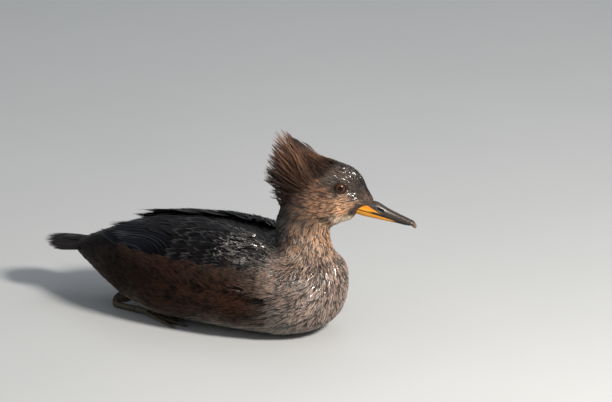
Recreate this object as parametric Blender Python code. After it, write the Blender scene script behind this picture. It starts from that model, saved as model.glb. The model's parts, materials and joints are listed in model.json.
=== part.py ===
"""A female hooded merganser, life size, resting on her belly with the feet tucked under and the crest raised.

Metres, +Z up. The bird faces +X, her left is +Y, and the origin is at the middle of the flat under the belly.
Lengths in the tables are millimetres.
"""
import math
import random

import bmesh
import bpy
from mathutils import Matrix, Vector

# Driving dimensions
MM = 0.001
GAP = 0.3  # left between two nodes that touch
BODY_FRONT, BODY_END = 116.5, -126.0
FLAT_CUT = -1.2  # the belly's lowest line before the floor trims it flat
EYE_HEIGHT = 123.0
HEAD_PLACE = (112.3, 11.2)  # the point of the head's middle plane between the eyes
HEAD_YAW = math.radians(20.0)  # the head is turned to the bird's left
EYE_RADIUS, EYE_OUT = 6.0, 9.6
LID_RING, LID_THICK, LID_OUT = 4.7, 1.1, 14.0
LID_ACROSS, LID_ALONG = 6, 18
LID_FACES = (3.2, 14.0, 1.2)  # the way out of the eye: along the head, sideways and up
TAIL_TIP = -158.0
TOP_FULL, BELLY_FULL = 2.2, 2.4  # superellipse powers of the body's upper and lower halves
HEAD_FULL = 2.2
BODY_SIDES, BODY_RINGS = 36, 27
NECK_SIDES, NECK_RINGS = 28, 11
HEAD_SIDES, HEAD_RINGS = 28, 20
EYE_SIDES = 16

# Where the whole is parted: (x, height) of the neck's foot, (along the head, height) of the head's
# and the crest's, and x of the tail's
NECK_CUT = ((52.0, 77.5), (118.0, 60.0))
HEAD_CUT = ((-2.0, 84.6), (-53.0, 94.0))
CREST_CUT = ((-2.0, 145.0), (-54.0, 102.0))
TAIL_CUT = -108.0

# The folded wing: its core, and its feathers
WING_FRONT, WING_REAR = 70.0, -62.0
WING_ALONG, WING_ACROSS = 12, 6
WING_GAP, WING_RIM, WING_THICK = 0.5, 1.1, 0.6
# How far the core lies under its feathers, and how soon it swells from its rim
WING_INSET, WING_SWELL_ALONG, WING_SWELL_ACROSS = 0.8, 5.04, 4.0
TIP_STRAY = (1.5, 0.5)  # how far a feather's tip strays, in millimetres along and in degrees across
# A feather's share of its full width at root and tip, and where it is at its widest
FEATHER_ENDS, WIDEST, TIP_POWER = (0.55, 0.25), (0.35, 0.6), 1.8
# x, and the angles of the wing's upper and lower edges
WING_EDGES = (
    (-62, 12.0, 66.0),
    (-20, 9.0, 68.0),
    (20, 11.0, 68.0),
    (45, 17.0, 66.0),
    (62, 27.0, 62.0),
    (70, 42.0, 54.0),
)
# Each tier: count, first and last root, first and last tip, half width, rise at root and tip, step, roll,
# bow, lengths
WING_TIERS = (
    (5, ((-30, 62), (-42, 46)), ((-90, 45), (-75, 36)), 5.8, (-1.2, 0.1), 0.5, -4, 3.0, 4),
    (5, ((-6, 63), (4, 40)), ((-58, 62), (-77, 37)), 6.6, (-1.2, 0.7), 0.15, -8, 2.0, 4),
    (3, ((-6, 33), (8, 19)), ((-83, 35), (-66, 19)), 7.2, (-1.2, 1.9), 0.3, -7, 1.0, 4),
    (6, ((28, 63), (30, 27)), ((-13, 62), (-15, 25)), 6.8, (-1.2, 1.9), 0.0, -8, 1.0, 3),
    (5, ((50, 60), (48, 32)), ((14, 60), (11, 27)), 7.2, (-1.1, 2.1), 0.0, -8, 1.0, 3),
    (3, ((40, 25), (30, 14)), ((-20, 22), (-34, 12)), 8.0, (-1.2, 2.3), 0.3, -6, 0.0, 3),
)

# The crest: rows of roots by place along the head and angle, the fan's outline, and sizes
CREST_ROWS = (-13.0, -20.0, -27.0, -34.0, -40.0, -44.5)
CREST_ANGLES = (0.0, 30.0, 58.0, 86.0, 112.0)
CREST_PIVOT = (-14.0, 118.0)
CREST_SWEEP = (95.0, -25.0)  # the roots' directions from the pivot at the outline's first and last points
# The fan's outline: share of the sweep, place along the head, height
CREST_TIPS = (
    (0.0, -32.0, 155.0),
    (0.12, -40.5, 160.5),
    (0.25, -49.8, 168.2),
    (0.35, -54.0, 160.0),
    (0.45, -55.5, 152.0),
    (0.58, -57.0, 144.0),
    (0.72, -62.0, 130.6),
    (0.82, -64.0, 122.0),
    (0.91, -63.0, 114.0),
    (1.0, -60.0, 106.0),
)
CREST_HALF, CREST_THICK, CREST_SINK, CREST_PINCH, CREST_LENGTHS = 4.3, 0.65, 1.8, 3.4, 4
CREST_OFFSET, CREST_LOWEST = 13.0, 140.0  # every other row is set off by this angle, and the lowest angle
CREST_SHORTER = 0.012  # how much shorter a feather is for each millimetre off the middle
CREST_REACH, CREST_BEND, CREST_STRAY = (0.93, 1.02), (0.4, 1.6), (0.6, 1.2)
CREST_HEART = (-28.0, 116.0)  # the place inside the core that the roots point to

# The tail feathers
TAIL_PAIRS, TAIL_HALF, TAIL_THICK, TAIL_LENGTHS = 6, 4.6, 0.55, 3
TAIL_ROOT, TAIL_HEIGHT, TAIL_DROP = -111.0, 45.0, 0.06
TAIL_APART, TAIL_TURN, TAIL_ROLL, TAIL_ENDS = 2.4, 2.6, 8.0, (0.6, 0.3)
TAIL_MIDDLE_STEP, TAIL_FIRST_STEP, TAIL_STEP = 0.9, 1.1, 0.55
TAIL_SHORTER, TAIL_ROUNDER, TAIL_STRAY = 0.012, 0.008, 0.8  # how feathers grow shorter outwards, and stray

# The bill's details
BILL_RINGS, BILL_SIDES, MOUTH_GAP = 12, 10, 0.35
NAIL_START, LOWER_TIP = 56.0, 55.0
NAIL = ((57.3, 2.9, 95.6, 90.3), (58.6, 2.3, 94.3, 89.8), (59.4, 1.0, 92.8, 90.6))
LOWER_END = (55.5, 1.6, 92.4, 91.2)
NOSTRIL = (31.1, 4.0, 104.3)
NOSTRIL_STEPS, NOSTRIL_FALL = (-3.2, -1.6, 0, 1.6, 3.2), 0.45
NOSTRIL_RADII = ((0.3, 0.3), (1.3, 0.8), (1.5, 1.0), (1.3, 0.8), (0.3, 0.3))
LOWER_NARROWER = 0.5  # how much narrower on each side the lower half is
# The mouth's corner behind the bill: from and to along the head, and the groove's half thicknesses
MOUTH_CORNER = (7.5, 17.0)
MOUTH_RADII = ((0.3, 0.25), (0.9, 0.45), (1.1, 0.5), (1.2, 0.5), (1.3, 0.5))

# The legs and feet, given for the left side
LEG_HEEL, LEG_TOP = (-76.0, 25.0, 4.2), (-61.0, 23.0, 16.0)
FOOT_ROOT, SHANK_LOW, TOE_RADIUS, WEB_THICK = (-45.0, 28.0), 3.0, 1.9, 0.9
TOE_SIDES = 6
SHIN_BEND = (2.0, 4.0)  # how far the shin's last bend lies ahead of the heel, and above it
# Half thicknesses, sideways and upwards, from the top of the shin to the heel, and from the heel to the toes
SHIN_RADII = ((5.4, 6.6), (4.2, 5.2), (3.0, 3.4), (2.6, 2.6))
SHANK_RADII = ((1.6, 1.8), (3.0, 3.4), (2.0, 2.8), (2.0, 2.7), (2.8, 2.8))
TOE_LENGTHS, TOE_TAPER, TOE_SWELL, TOE_JOINTS, CLAW_RADIUS = 5, 0.45, 0.12, 2.5, 0.5
# The hind toe: its bend and tip from the foot's root, and its half thicknesses
HIND_BEND, HIND_TIP, HIND_RADII = (-5.0, -4.5, 1.5), (-9.0, -7.0, 1.0), (1.7, 1.3, 0.5)
WEB_REACH, WEB_SAG, WEB_STEPS = 0.86, 0.16, 6
LEG_TURN = math.atan2(FOOT_ROOT[1] - LEG_HEEL[1], FOOT_ROOT[0] - LEG_HEEL[0])
FOOT_STUB = 10.5  # how much of the shank is part of the foot
TOES = ((2.0, 35.0), (14.0, 46.0), (27.0, 43.0))  # direction in degrees outwards, length
BELLY_GAP = 0.4

# The body without its wings: x, half width, top, height of the widest line, bottom
BODY = (
    (-126, 0.0, 40.0, 40.0, 40.0),
    (-124, 7.0, 44.0, 40.0, 37.0),
    (-118, 14.0, 48.0, 41.0, 34.2),
    (-105, 24.0, 54.0, 42.0, 28.7),
    (-85, 35.0, 63.0, 41.0, 17.5),
    (-60, 46.0, 71.5, 39.0, 6.0),
    (-30, 54.5, 77.5, 37.0, FLAT_CUT),
    (5, 58.0, 80.0, 36.0, FLAT_CUT),
    (40, 57.0, 77.0, 36.0, FLAT_CUT),
    (70, 51.5, 71.0, 36.0, FLAT_CUT),
    (90, 44.0, 69.0, 37.0, 2.4),
    (104, 34.5, 65.5, 38.0, 8.8),
    (111, 24.0, 61.0, 40.0, 17.5),
    (115, 13.0, 54.0, 42.0, 27.9),
    (116.5, 0.0, 43.0, 43.0, 43.0),
)
# The outer face of the folded wings: x, half width, top, height of the widest line
CLOAK = (
    (-95, 31.0, 70.4, 47.0),
    (-75, 40.0, 72.6, 44.0),
    (-60, 47.2, 74.4, 42.0),
    (-30, 56.4, 78.7, 39.0),
    (10, 60.0, 81.6, 38.0),
    (40, 58.6, 79.0, 38.0),
    (70, 53.6, 73.2, 38.0),
)
# The neck: height, x and y of its middle, half length, half width, turn in degrees
NECK = (
    (40.0, 82.0, 0.0, 25.0, 36.0, 0.0),
    (50.0, 82.5, 0.0, 30.0, 37.0, 0.0),
    (56.0, 82.8, 0.0, 30.0, 34.0, 0.0),
    (61.0, 83.0, 0.0, 28.5, 29.5, 0.0),
    (67.0, 83.2, 0.0, 25.4, 24.0, 2.0),
    (75.0, 83.1, 0.0, 22.9, 19.4, 6.0),
    (83.0, 83.0, 0.2, 22.0, 17.2, 12.0),
    (91.0, 82.9, 0.5, 21.7, 16.5, 18.0),
    (100.0, 83.5, 0.8, 20.5, 15.5, 20.0),
    (108.0, 85.0, 1.2, 16.0, 13.0, 20.0),
)
# The head along its own axis, from the middle of the eyes: place, half width, top, widest line, bottom
HEAD = (
    (-46, 0.0, 118.0, 118.0, 118.0),
    (-45, 5.0, 127.0, 118.0, 108.0),
    (-41, 9.5, 136.0, 118.0, 99.0),
    (-34, 13.5, 141.0, 117.0, 93.0),
    (-24, 16.0, 143.5, 116.0, 88.0),
    (-14, 16.6, 143.5, 115.0, 87.0),
    (-6, 16.0, 141.6, 115.0, 88.5),
    (1, 14.8, 139.6, 115.0, 92.0),
    (8, 12.6, 137.0, 114.0, 95.0),
    (10.5, 11.7, 135.3, 113.5, 98.0),
    (13, 10.8, 133.0, 113.0, 101.8),
    (16, 9.6, 129.3, 112.5, 104.6),
    (20, 7.6, 119.8, 111.5, 106.0),
    (24, 4.6, 113.2, 109.8, 106.8),
    (26.5, 0.0, 108.6, 108.6, 108.6),
)
# The bill along the head's axis: place, half width, culmen, line of the mouth, lower edge
BILL = (
    (4, 5.6, 107.5, 104.5, 100.0),
    (12, 6.3, 110.5, 105.0, 99.4),
    (16, 6.3, 111.5, 104.2, 98.3),
    (26, 5.3, 110.6, 101.4, 96.4),
    (37.6, 4.1, 104.7, 97.9, 94.4),
    (43, 3.7, 102.1, 96.3, 93.6),
    (50, 3.4, 99.0, 94.2, 92.1),
    (56, 3.1, 96.3, 92.5, 90.8),
)


def smooth(points, x, column=1):
    """The value at x of a smooth curve through the table's points, which never overshoots them."""
    xs = [p[0] for p in points]
    ys = [p[column] for p in points]
    x = min(max(x, xs[0]), xs[-1])
    i = max(k for k in range(len(xs) - 1) if xs[k] <= x)
    secants = [(ys[k + 1] - ys[k]) / (xs[k + 1] - xs[k]) for k in range(len(xs) - 1)]

    def slope(k):
        before, after = secants[max(k - 1, 0)], secants[min(k, len(secants) - 1)]
        return 0.0 if before * after <= 0 else 2 * before * after / (before + after)

    h = xs[i + 1] - xs[i]
    t = (x - xs[i]) / h
    return (
        ys[i] * (1 + 2 * t) * (1 - t) ** 2
        + slope(i) * h * t * (1 - t) ** 2
        + ys[i + 1] * t * t * (3 - 2 * t)
        + slope(i + 1) * h * t * t * (t - 1)
    )


def power(value, n):
    return math.copysign(abs(value) ** (2 / n), value)


def egg(angle, half_width, top, middle, bottom, top_full, bottom_full):
    """A point (sideways, height) of an egg-shaped section. The angle is 0 at the top and grows to the left."""
    s, c = math.sin(angle), math.cos(angle)
    full = top_full if c >= 0 else bottom_full
    reach = (top - middle) if c >= 0 else (middle - bottom)
    return half_width * power(s, full), middle + reach * power(c, full)


def body_point(x, angle):
    y, z = egg(angle, *(smooth(BODY, x, k) for k in (1, 2, 3, 4)), TOP_FULL, BELLY_FULL)
    return Vector((x, y, z)) * MM


def cloak_point(x, angle):
    half_width, top, middle = (smooth(CLOAK, x, k) for k in (1, 2, 3))
    y, z = egg(angle, half_width, top, middle, 0.0, TOP_FULL, BELLY_FULL)
    return Vector((x, y, z)) * MM


def normal_of(surface, x, angle):
    """The outward normal of a surface given as a function of x and angle."""
    along = surface(x + 0.5, angle) - surface(x - 0.5, angle)
    around = surface(x, angle + 0.01) - surface(x, angle - 0.01)
    return around.cross(along).normalized()


def head_place(a, sideways, height):
    """A point given along the head's axis, to its left and above the floor."""
    c, s = math.cos(HEAD_YAW), math.sin(HEAD_YAW)
    x = HEAD_PLACE[0] + a * c - sideways * s
    y = HEAD_PLACE[1] + a * s + sideways * c
    return Vector((x, y, height)) * MM


def material(name, colour, roughness, metallic=0.0):
    made = bpy.data.materials.new(name)
    made.use_nodes = True
    shader = made.node_tree.nodes["Principled BSDF"]
    shader.inputs["Base Color"].default_value = (*colour, 1.0)
    shader.inputs["Roughness"].default_value = roughness
    shader.inputs["Metallic"].default_value = metallic
    return made


def new_object(name, bm):
    bmesh.ops.remove_doubles(bm, verts=bm.verts, dist=1e-7)
    bmesh.ops.recalc_face_normals(bm, faces=bm.faces)
    mesh = bpy.data.meshes.new(name)
    bm.to_mesh(mesh)
    bm.free()
    made = bpy.data.objects.new(name, mesh)
    BIRD.objects.link(made)
    return made


def loft(name, rings):
    """A closed skin over rings of equally many points. A ring of one point is a pole."""
    bm = bmesh.new()
    made = [[bm.verts.new(p) for p in ring] for ring in rings]
    for first, second in zip(made, made[1:]):
        count = max(len(first), len(second))
        for k in range(count):
            n = (k + 1) % count
            corners = [first[k % len(first)], first[n % len(first)]]
            corners += [second[n % len(second)], second[k % len(second)]]
            bm.faces.new(list(dict.fromkeys(corners)))
    for ring in (made[0], made[-1]):
        if len(ring) > 1:
            bm.faces.new(ring)
    return new_object(name, bm)


def eased(low, high, count, ease=1.0):
    """Places from low to high, closer together near both ends."""
    for k in range(count):
        t = -math.cos(math.pi * k / (count - 1))
        straight = 2 * k / (count - 1) - 1
        yield low + (high - low) * (1 + ease * t + (1 - ease) * straight) / 2


def combine(base, others, operation, solver="EXACT"):
    """Joins closed mesh objects to base, or cuts them from it, with one Boolean, and removes them."""
    held = bpy.data.collections.new("held")
    bpy.context.scene.collection.children.link(held)
    for other in others:
        for user in list(other.users_collection):
            user.objects.unlink(other)
        held.objects.link(other)
    modifier = base.modifiers.new("Combine", "BOOLEAN")
    modifier.operation = operation
    modifier.solver = solver
    modifier.operand_type = "COLLECTION"
    modifier.collection = held
    graph = bpy.context.evaluated_depsgraph_get()
    mesh = bpy.data.meshes.new_from_object(base.evaluated_get(graph))
    base.modifiers.clear()
    base.data = mesh
    for other in others:
        bpy.data.objects.remove(other)
    bpy.data.collections.remove(held)
    return base


def shells_of(obj):
    """The object's separate closed surfaces as bmeshes, the largest first."""
    whole = bmesh.new()
    whole.from_mesh(obj.data)
    left, groups = set(whole.faces), []
    while left:
        reached = [left.pop()]
        group = []
        while reached:
            face = reached.pop()
            group.append(face)
            for edge in face.edges:
                for other in edge.link_faces:
                    if other in left:
                        left.remove(other)
                        reached.append(other)
        groups.append(group)
    made = []
    for group in groups:
        shell = bmesh.new()
        places = {v: shell.verts.new(v.co) for v in {v for f in group for v in f.verts}}
        for face in group:
            shell.faces.new([places[v] for v in face.verts])
        made.append(shell)
    whole.free()
    return sorted(made, key=lambda shell: -abs(shell.calc_volume(signed=True)))


def keep_largest(obj):
    shells = shells_of(obj)
    shells[0].to_mesh(obj.data)
    for shell in shells:
        shell.free()
    return obj


def slab(low, high, turn=None, place=(0, 0, 0)):
    """A box cutter between two corners, turned about its own place."""
    bm = bmesh.new()
    bmesh.ops.create_cube(bm, size=1.0)
    size = Vector(high) - Vector(low)
    middle = (Vector(high) + Vector(low)) / 2
    bmesh.ops.scale(bm, vec=size * MM, verts=bm.verts)
    bmesh.ops.translate(bm, vec=middle * MM, verts=bm.verts)
    if turn:
        bmesh.ops.transform(bm, matrix=turn, verts=bm.verts)
    bmesh.ops.translate(bm, vec=Vector(place) * MM, verts=bm.verts)
    return new_object("cutter", bm)


def ball(radius, place, name="ball"):
    bm = bmesh.new()
    bmesh.ops.create_uvsphere(bm, u_segments=EYE_SIDES, v_segments=EYE_SIDES // 2, radius=radius * MM)
    bmesh.ops.translate(bm, vec=place, verts=bm.verts)
    return new_object(name, bm)


def tube(name, path, radii, sides=10):
    """A round rod through the path's points. Each radius is (sideways, upwards)."""
    rings = []
    for k, point in enumerate(path):
        ahead = Vector(path[min(k + 1, len(path) - 1)]) - Vector(path[max(k - 1, 0)])
        side = Vector((0, 0, 1)).cross(ahead).normalized()
        up = ahead.cross(side).normalized()
        wide, tall = radii[k]
        turns = [2 * math.pi * n / sides for n in range(sides)]
        spokes = [side * wide * math.cos(t) + up * tall * math.sin(t) for t in turns]
        rings.append([(Vector(point) + spoke) * MM for spoke in spokes])
    return loft(name, rings)


def vane(frames, thick):
    """One feather: a flat tapered plate through frames of (middle, half width, side direction, up direction).

    Both faces are split along the same diagonals.
    """
    bm = bmesh.new()
    rings = []
    for middle, half, side, up in frames:
        edge, depth = side * half * MM, up * thick * MM / 2
        corners = (middle + edge + depth, middle - edge + depth, middle - edge - depth, middle + edge - depth)
        rings.append([bm.verts.new(p) for p in corners])
    for a, b in zip(rings, rings[1:]):
        bm.faces.new((a[0], a[1], b[1]))
        bm.faces.new((a[0], b[1], b[0]))
        bm.faces.new((a[3], b[2], a[2]))
        bm.faces.new((a[3], b[3], b[2]))
        for one, two in ((1, 2), (3, 0)):
            bm.faces.new((a[one], a[two], b[two]))
            bm.faces.new((a[one], b[two], b[one]))
    for ring in (rings[0], rings[-1]):
        bm.faces.new((ring[0], ring[1], ring[2]))
        bm.faces.new((ring[0], ring[2], ring[3]))
    return new_object("vane", bm)


def feather_shape(t, root=FEATHER_ENDS[0], tip=FEATHER_ENDS[1]):
    """A feather's half width along its length, as a share of its widest."""
    if t < WIDEST[0]:
        return root + (1 - root) * t / WIDEST[0]
    if t < WIDEST[1]:
        return 1.0
    return 1 - (1 - tip) * ((t - WIDEST[1]) / (1 - WIDEST[1])) ** TIP_POWER


def laid_vane(side, root, tip, half, rise, roll, bow, steps):
    """A wing feather laid along the folded wing from its root to its tip, each (x, angle in degrees).

    Rise is its height over the wing's face at the root, and at the tip. Roll lifts its upper edge.
    """
    frames = []
    for k in range(steps + 1):
        t = k / steps
        x = root[0] + (tip[0] - root[0]) * t
        angle = math.radians(root[1] + (tip[1] - root[1]) * t + bow * math.sin(math.pi * t))
        ahead_x = x - 0.5
        ahead_angle = angle + math.radians((tip[1] - root[1]) * 0.5 / abs(tip[0] - root[0]))
        outward = normal_of(cloak_point, x, angle)
        if outward.z < 0:
            outward = -outward
        middle = cloak_point(x, angle) + outward * (rise[0] + (rise[1] - rise[0]) * t ** 0.8) * MM
        along = (cloak_point(ahead_x, ahead_angle) - cloak_point(x, angle)).normalized()
        across = outward.cross(along).normalized()
        if across.z < 0:
            across = -across
        turned = Matrix.Rotation(math.radians(roll), 3, along)
        lifted = turned @ across
        if (lifted - across).dot(outward) < 0:
            turned = turned.inverted()
        frames.append([middle, half * feather_shape(t), turned @ across, turned @ outward])
    for frame in frames:
        if side < 0:
            frame[0], frame[2], frame[3] = (Vector((v.x, -v.y, v.z)) for v in (frame[0], frame[2], frame[3]))
    return vane(frames, WING_THICK)


def make_whole():
    """Torso, neck and head as one skin, before it is parted."""
    turns = [2 * math.pi * k / BODY_SIDES for k in range(BODY_SIDES)]
    rings = []
    for x in eased(BODY_END, BODY_FRONT, BODY_RINGS, 0.6):
        if smooth(BODY, x) < 0.01:
            rings.append([body_point(x, 0.0)])
        else:
            rings.append([body_point(x, t) for t in turns])
    torso = loft("whole", rings)

    turns = [2 * math.pi * k / NECK_SIDES for k in range(NECK_SIDES)]
    rings = []
    for k in range(NECK_RINGS):
        z = NECK[0][0] + (NECK[-1][0] - NECK[0][0]) * k / (NECK_RINGS - 1)
        x, y, length, width, turned = (smooth(NECK, z, n) for n in range(1, 6))
        c, s = math.cos(math.radians(turned)), math.sin(math.radians(turned))
        ring = []
        for t in turns:
            along, across = length * math.cos(t), width * math.sin(t)
            ring.append(Vector((x + along * c - across * s, y + along * s + across * c, z)) * MM)
        rings.append(ring)
    neck = loft("neck_form", rings)
    return combine(torso, [neck, head_form(), *(lid(side) for side in (1, -1))], "UNION")


def head_form(grown=0.0):
    turns = [2 * math.pi * k / HEAD_SIDES for k in range(HEAD_SIDES)]
    rings = []
    low, high = HEAD[0][0] - grown, HEAD[-1][0] + grown
    for a in eased(low, high, HEAD_RINGS, 0.75):
        half, top, middle, bottom = (smooth(HEAD, a, n) for n in (1, 2, 3, 4))
        if half < 0.01:
            rings.append([head_place(a, 0.0, middle)])
            continue
        sizes = (half + grown, top + grown, middle, bottom - grown, HEAD_FULL, HEAD_FULL)
        rings.append([head_place(a, *egg(t, *sizes)) for t in turns])
    return loft("head_form", rings)


def eye_middle(side):
    return head_place(0.0, side * EYE_OUT, EYE_HEIGHT)


def lid(side):
    """The rim of the eyelids, a ring laid on the head round the eye."""
    bm = bmesh.new()
    across, along = LID_ACROSS, LID_ALONG
    out = head_place(LID_FACES[0], side * LID_FACES[1], EYE_HEIGHT + LID_FACES[2])
    outward = (out - head_place(0, 0, EYE_HEIGHT)).normalized()
    forward = Vector((0, 0, 1)).cross(outward).normalized()
    up = outward.cross(forward).normalized()
    middle = eye_middle(side) + outward * (LID_OUT - EYE_OUT) * MM
    made = []
    for k in range(along):
        t = 2 * math.pi * k / along
        spoke = forward * math.cos(t) + up * math.sin(t)
        ring = []
        for n in range(across):
            turn = 2 * math.pi * n / across
            reach = LID_RING + LID_THICK * math.cos(turn)
            ring.append(bm.verts.new(middle + (spoke * reach + outward * LID_THICK * math.sin(turn)) * MM))
        made.append(ring)
    for k in range(along):
        first, second = made[k], made[(k + 1) % along]
        for n in range(across):
            bm.faces.new((first[n], first[(n + 1) % across], second[(n + 1) % across], second[n]))
    return new_object("lid", bm)


def parting(first, second, back, ahead, width=80.0):
    """A thin sheet cutter through two (x, z) points of the bird's middle plane, square to that plane."""
    run = Vector((second[0] - first[0], 0, second[1] - first[1]))
    tilt = Matrix.Rotation(-math.atan2(run.z, run.x), 4, "Y")
    far = (run.length + ahead, width, GAP / 2)
    return slab((-back, -width, -GAP / 2), far, tilt, (first[0], 0, first[1]))


def head_parting(first, second, back, ahead, thick=(-GAP / 2, GAP / 2), width=50.0):
    """The same through two (along, height) points of the head. Thick is the sheet's lower and upper face."""
    run = math.hypot(second[0] - first[0], second[1] - first[1])
    tilt = Matrix.Rotation(-math.atan2(second[1] - first[1], second[0] - first[0]), 4, "Y")
    turn = Matrix.Rotation(HEAD_YAW, 4, "Z") @ tilt
    place = head_place(first[0], 0.0, first[1]) / MM
    return slab((-back, -width, thick[0]), (run + ahead, width, thick[1]), turn, place)


def mouth_corner(side):
    """A groove along the head's side, from the feathers' edge back to the corner of the mouth."""
    path = []
    for k in range(len(MOUTH_RADII)):
        a = MOUTH_CORNER[0] + (MOUTH_CORNER[1] - MOUTH_CORNER[0]) * k / (len(MOUTH_RADII) - 1)
        z = smooth(BILL, a, 3)
        half, top, middle, bottom = (smooth(HEAD, a, n) for n in (1, 2, 3, 4))
        share = min(abs(middle - z) / (middle - bottom), 0.999)
        out = half * (1 - share ** HEAD_FULL) ** (1 / HEAD_FULL)
        path.append(head_place(a, side * (out + 0.1), z) / MM)
    return tube("groove", path, MOUTH_RADII, sides=6)


def part_whole():
    """Cuts the whole with thin sheets and names each piece by the place nearest to its middle."""
    whole = make_whole()
    cutters = [parting(*NECK_CUT, 4.0, 8.0), head_parting(*HEAD_CUT, 12.0, 12.0)]
    cutters += [head_parting(*CREST_CUT, 8.0, 30.0)]
    cutters += [slab((TAIL_CUT - GAP / 2, -50, 0), (TAIL_CUT + GAP / 2, 50, 90))]
    cutters += [slab((-200, -200, -50), (200, 200, 0))]
    cutters += [ball(EYE_RADIUS + GAP, eye_middle(side)) for side in (1, -1)]
    cutters += [mouth_corner(side) for side in (1, -1)]
    combine(whole, cutters, "DIFFERENCE")
    places = {
        "torso": Vector((0, 0, 36)) * MM,
        "neck": Vector((84, 0, 80)) * MM,
        "head": head_place(-2, 0, 118),
        "crest": head_place(-36, 0, 132),
        "tail": Vector((-116, 0, 40)) * MM,
    }
    made = {}
    for shell in shells_of(whole):
        middle = sum((v.co for v in shell.verts), Vector()) / len(shell.verts)
        name = min(places, key=lambda n: (places[n] - middle).length)
        if name not in made:
            made[name] = new_object(name, shell)
    bpy.data.objects.remove(whole)
    return made


def make_wing(side):
    """The folded wing: a thin core over the flank, and its feathers in tiers from the lowest up."""
    name = "wing_l" if side > 0 else "wing_r"
    outer, inner = [], []
    for i in range(WING_ALONG + 1):
        u = i / WING_ALONG
        x = WING_FRONT + (WING_REAR - WING_FRONT) * u
        upper, lower = smooth(WING_EDGES, x, 1), smooth(WING_EDGES, x, 2)
        out_row, in_row = [], []
        for j in range(WING_ACROSS + 1):
            v = j / WING_ACROSS
            angle = math.radians(upper + (lower - upper) * v)
            rim = min(WING_SWELL_ALONG * math.sqrt(u * (1 - u)), WING_SWELL_ACROSS * math.sqrt(v * (1 - v)), 1)
            under, outward = body_point(x, angle), normal_of(body_point, x, angle)
            if outward.z < 0:
                outward = -outward
            thin = under + outward * (WING_GAP + WING_RIM) * MM
            full = cloak_point(x, angle) - outward * WING_INSET * MM
            out_row.append(thin.lerp(full, rim))
            in_row.append(under + outward * WING_GAP * MM)
        outer.append(out_row)
        inner.append(in_row)
    bm = bmesh.new()
    sides = []
    for face in (outer, inner):
        sides.append([[bm.verts.new(Vector((p.x, side * p.y, p.z))) for p in row] for row in face])
    for face in sides:
        for i in range(WING_ALONG):
            for j in range(WING_ACROSS):
                bm.faces.new((face[i][j], face[i + 1][j], face[i + 1][j + 1]))
                bm.faces.new((face[i][j], face[i + 1][j + 1], face[i][j + 1]))
    top, low = sides
    rim = [(0, j) for j in range(WING_ACROSS)] + [(i, WING_ACROSS) for i in range(WING_ALONG)]
    rim += [(WING_ALONG, j) for j in range(WING_ACROSS, 0, -1)] + [(i, 0) for i in range(WING_ALONG, 0, -1)]
    for (i, j), (m, n) in zip(rim, rim[1:] + rim[:1]):
        bm.faces.new((top[i][j], top[m][n], low[m][n], low[i][j]))
    core = new_object(name, bm)
    return keep_largest(combine(core, wing_feathers(side), "UNION", "MANIFOLD"))


def wing_feathers(side):
    """Rows of overlapping feathers, each row from its lowest feather up, and from the wing's tip forwards."""
    draw = random.Random(11 if side > 0 else 12)
    made = []
    for count, roots, tips, half, rise, step, roll, bow, lengths in WING_TIERS:
        for k in range(count):
            t = k / (count - 1)
            root = [a + (b - a) * t for a, b in zip(*roots)]
            tip = [a + (b - a) * t for a, b in zip(*tips)]
            tip[0] += draw.uniform(-1, 1) * TIP_STRAY[0]
            tip[1] += draw.uniform(-1, 1) * TIP_STRAY[1]
            raised = (rise[0], rise[1] + step * k)
            made.append(laid_vane(side, root, tip, half, raised, roll, bow, lengths))
    return made


def make_crest(core):
    """Crest feathers in rows over the core, each flat, tapered and swept towards the fan's edge."""
    draw = random.Random(5)
    made = []
    for row, a in enumerate(CREST_ROWS):
        for angle in CREST_ANGLES:
            for side in (1, -1) if angle else (1,):
                offset = CREST_OFFSET if row % 2 and angle else 0.0
                turned = side * math.radians(min(angle + offset, CREST_LOWEST))
                sizes = (smooth(HEAD, a, n) for n in (1, 2, 3, 4))
                out, z = egg(turned, *sizes, HEAD_FULL, HEAD_FULL)
                if behind_cut(a, z) > CREST_SINK:
                    made.append(crest_vane(a, out, z, draw))
    combine(core, made, "UNION", "MANIFOLD")
    ahead_of_cut = head_parting(*CREST_CUT, back=60.0, ahead=60.0, thick=(-GAP / 2, 60.0), width=60.0)
    combine(core, [ahead_of_cut], "DIFFERENCE", "MANIFOLD")
    return keep_largest(core)


def behind_cut(a, z):
    """How far a point of the head's middle plane lies behind the crest's cut."""
    (a1, z1), (a2, z2) = CREST_CUT
    length = math.hypot(a2 - a1, z2 - z1)
    return ((a - a1) * (z2 - z1) - (z - z1) * (a2 - a1)) / length


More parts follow.
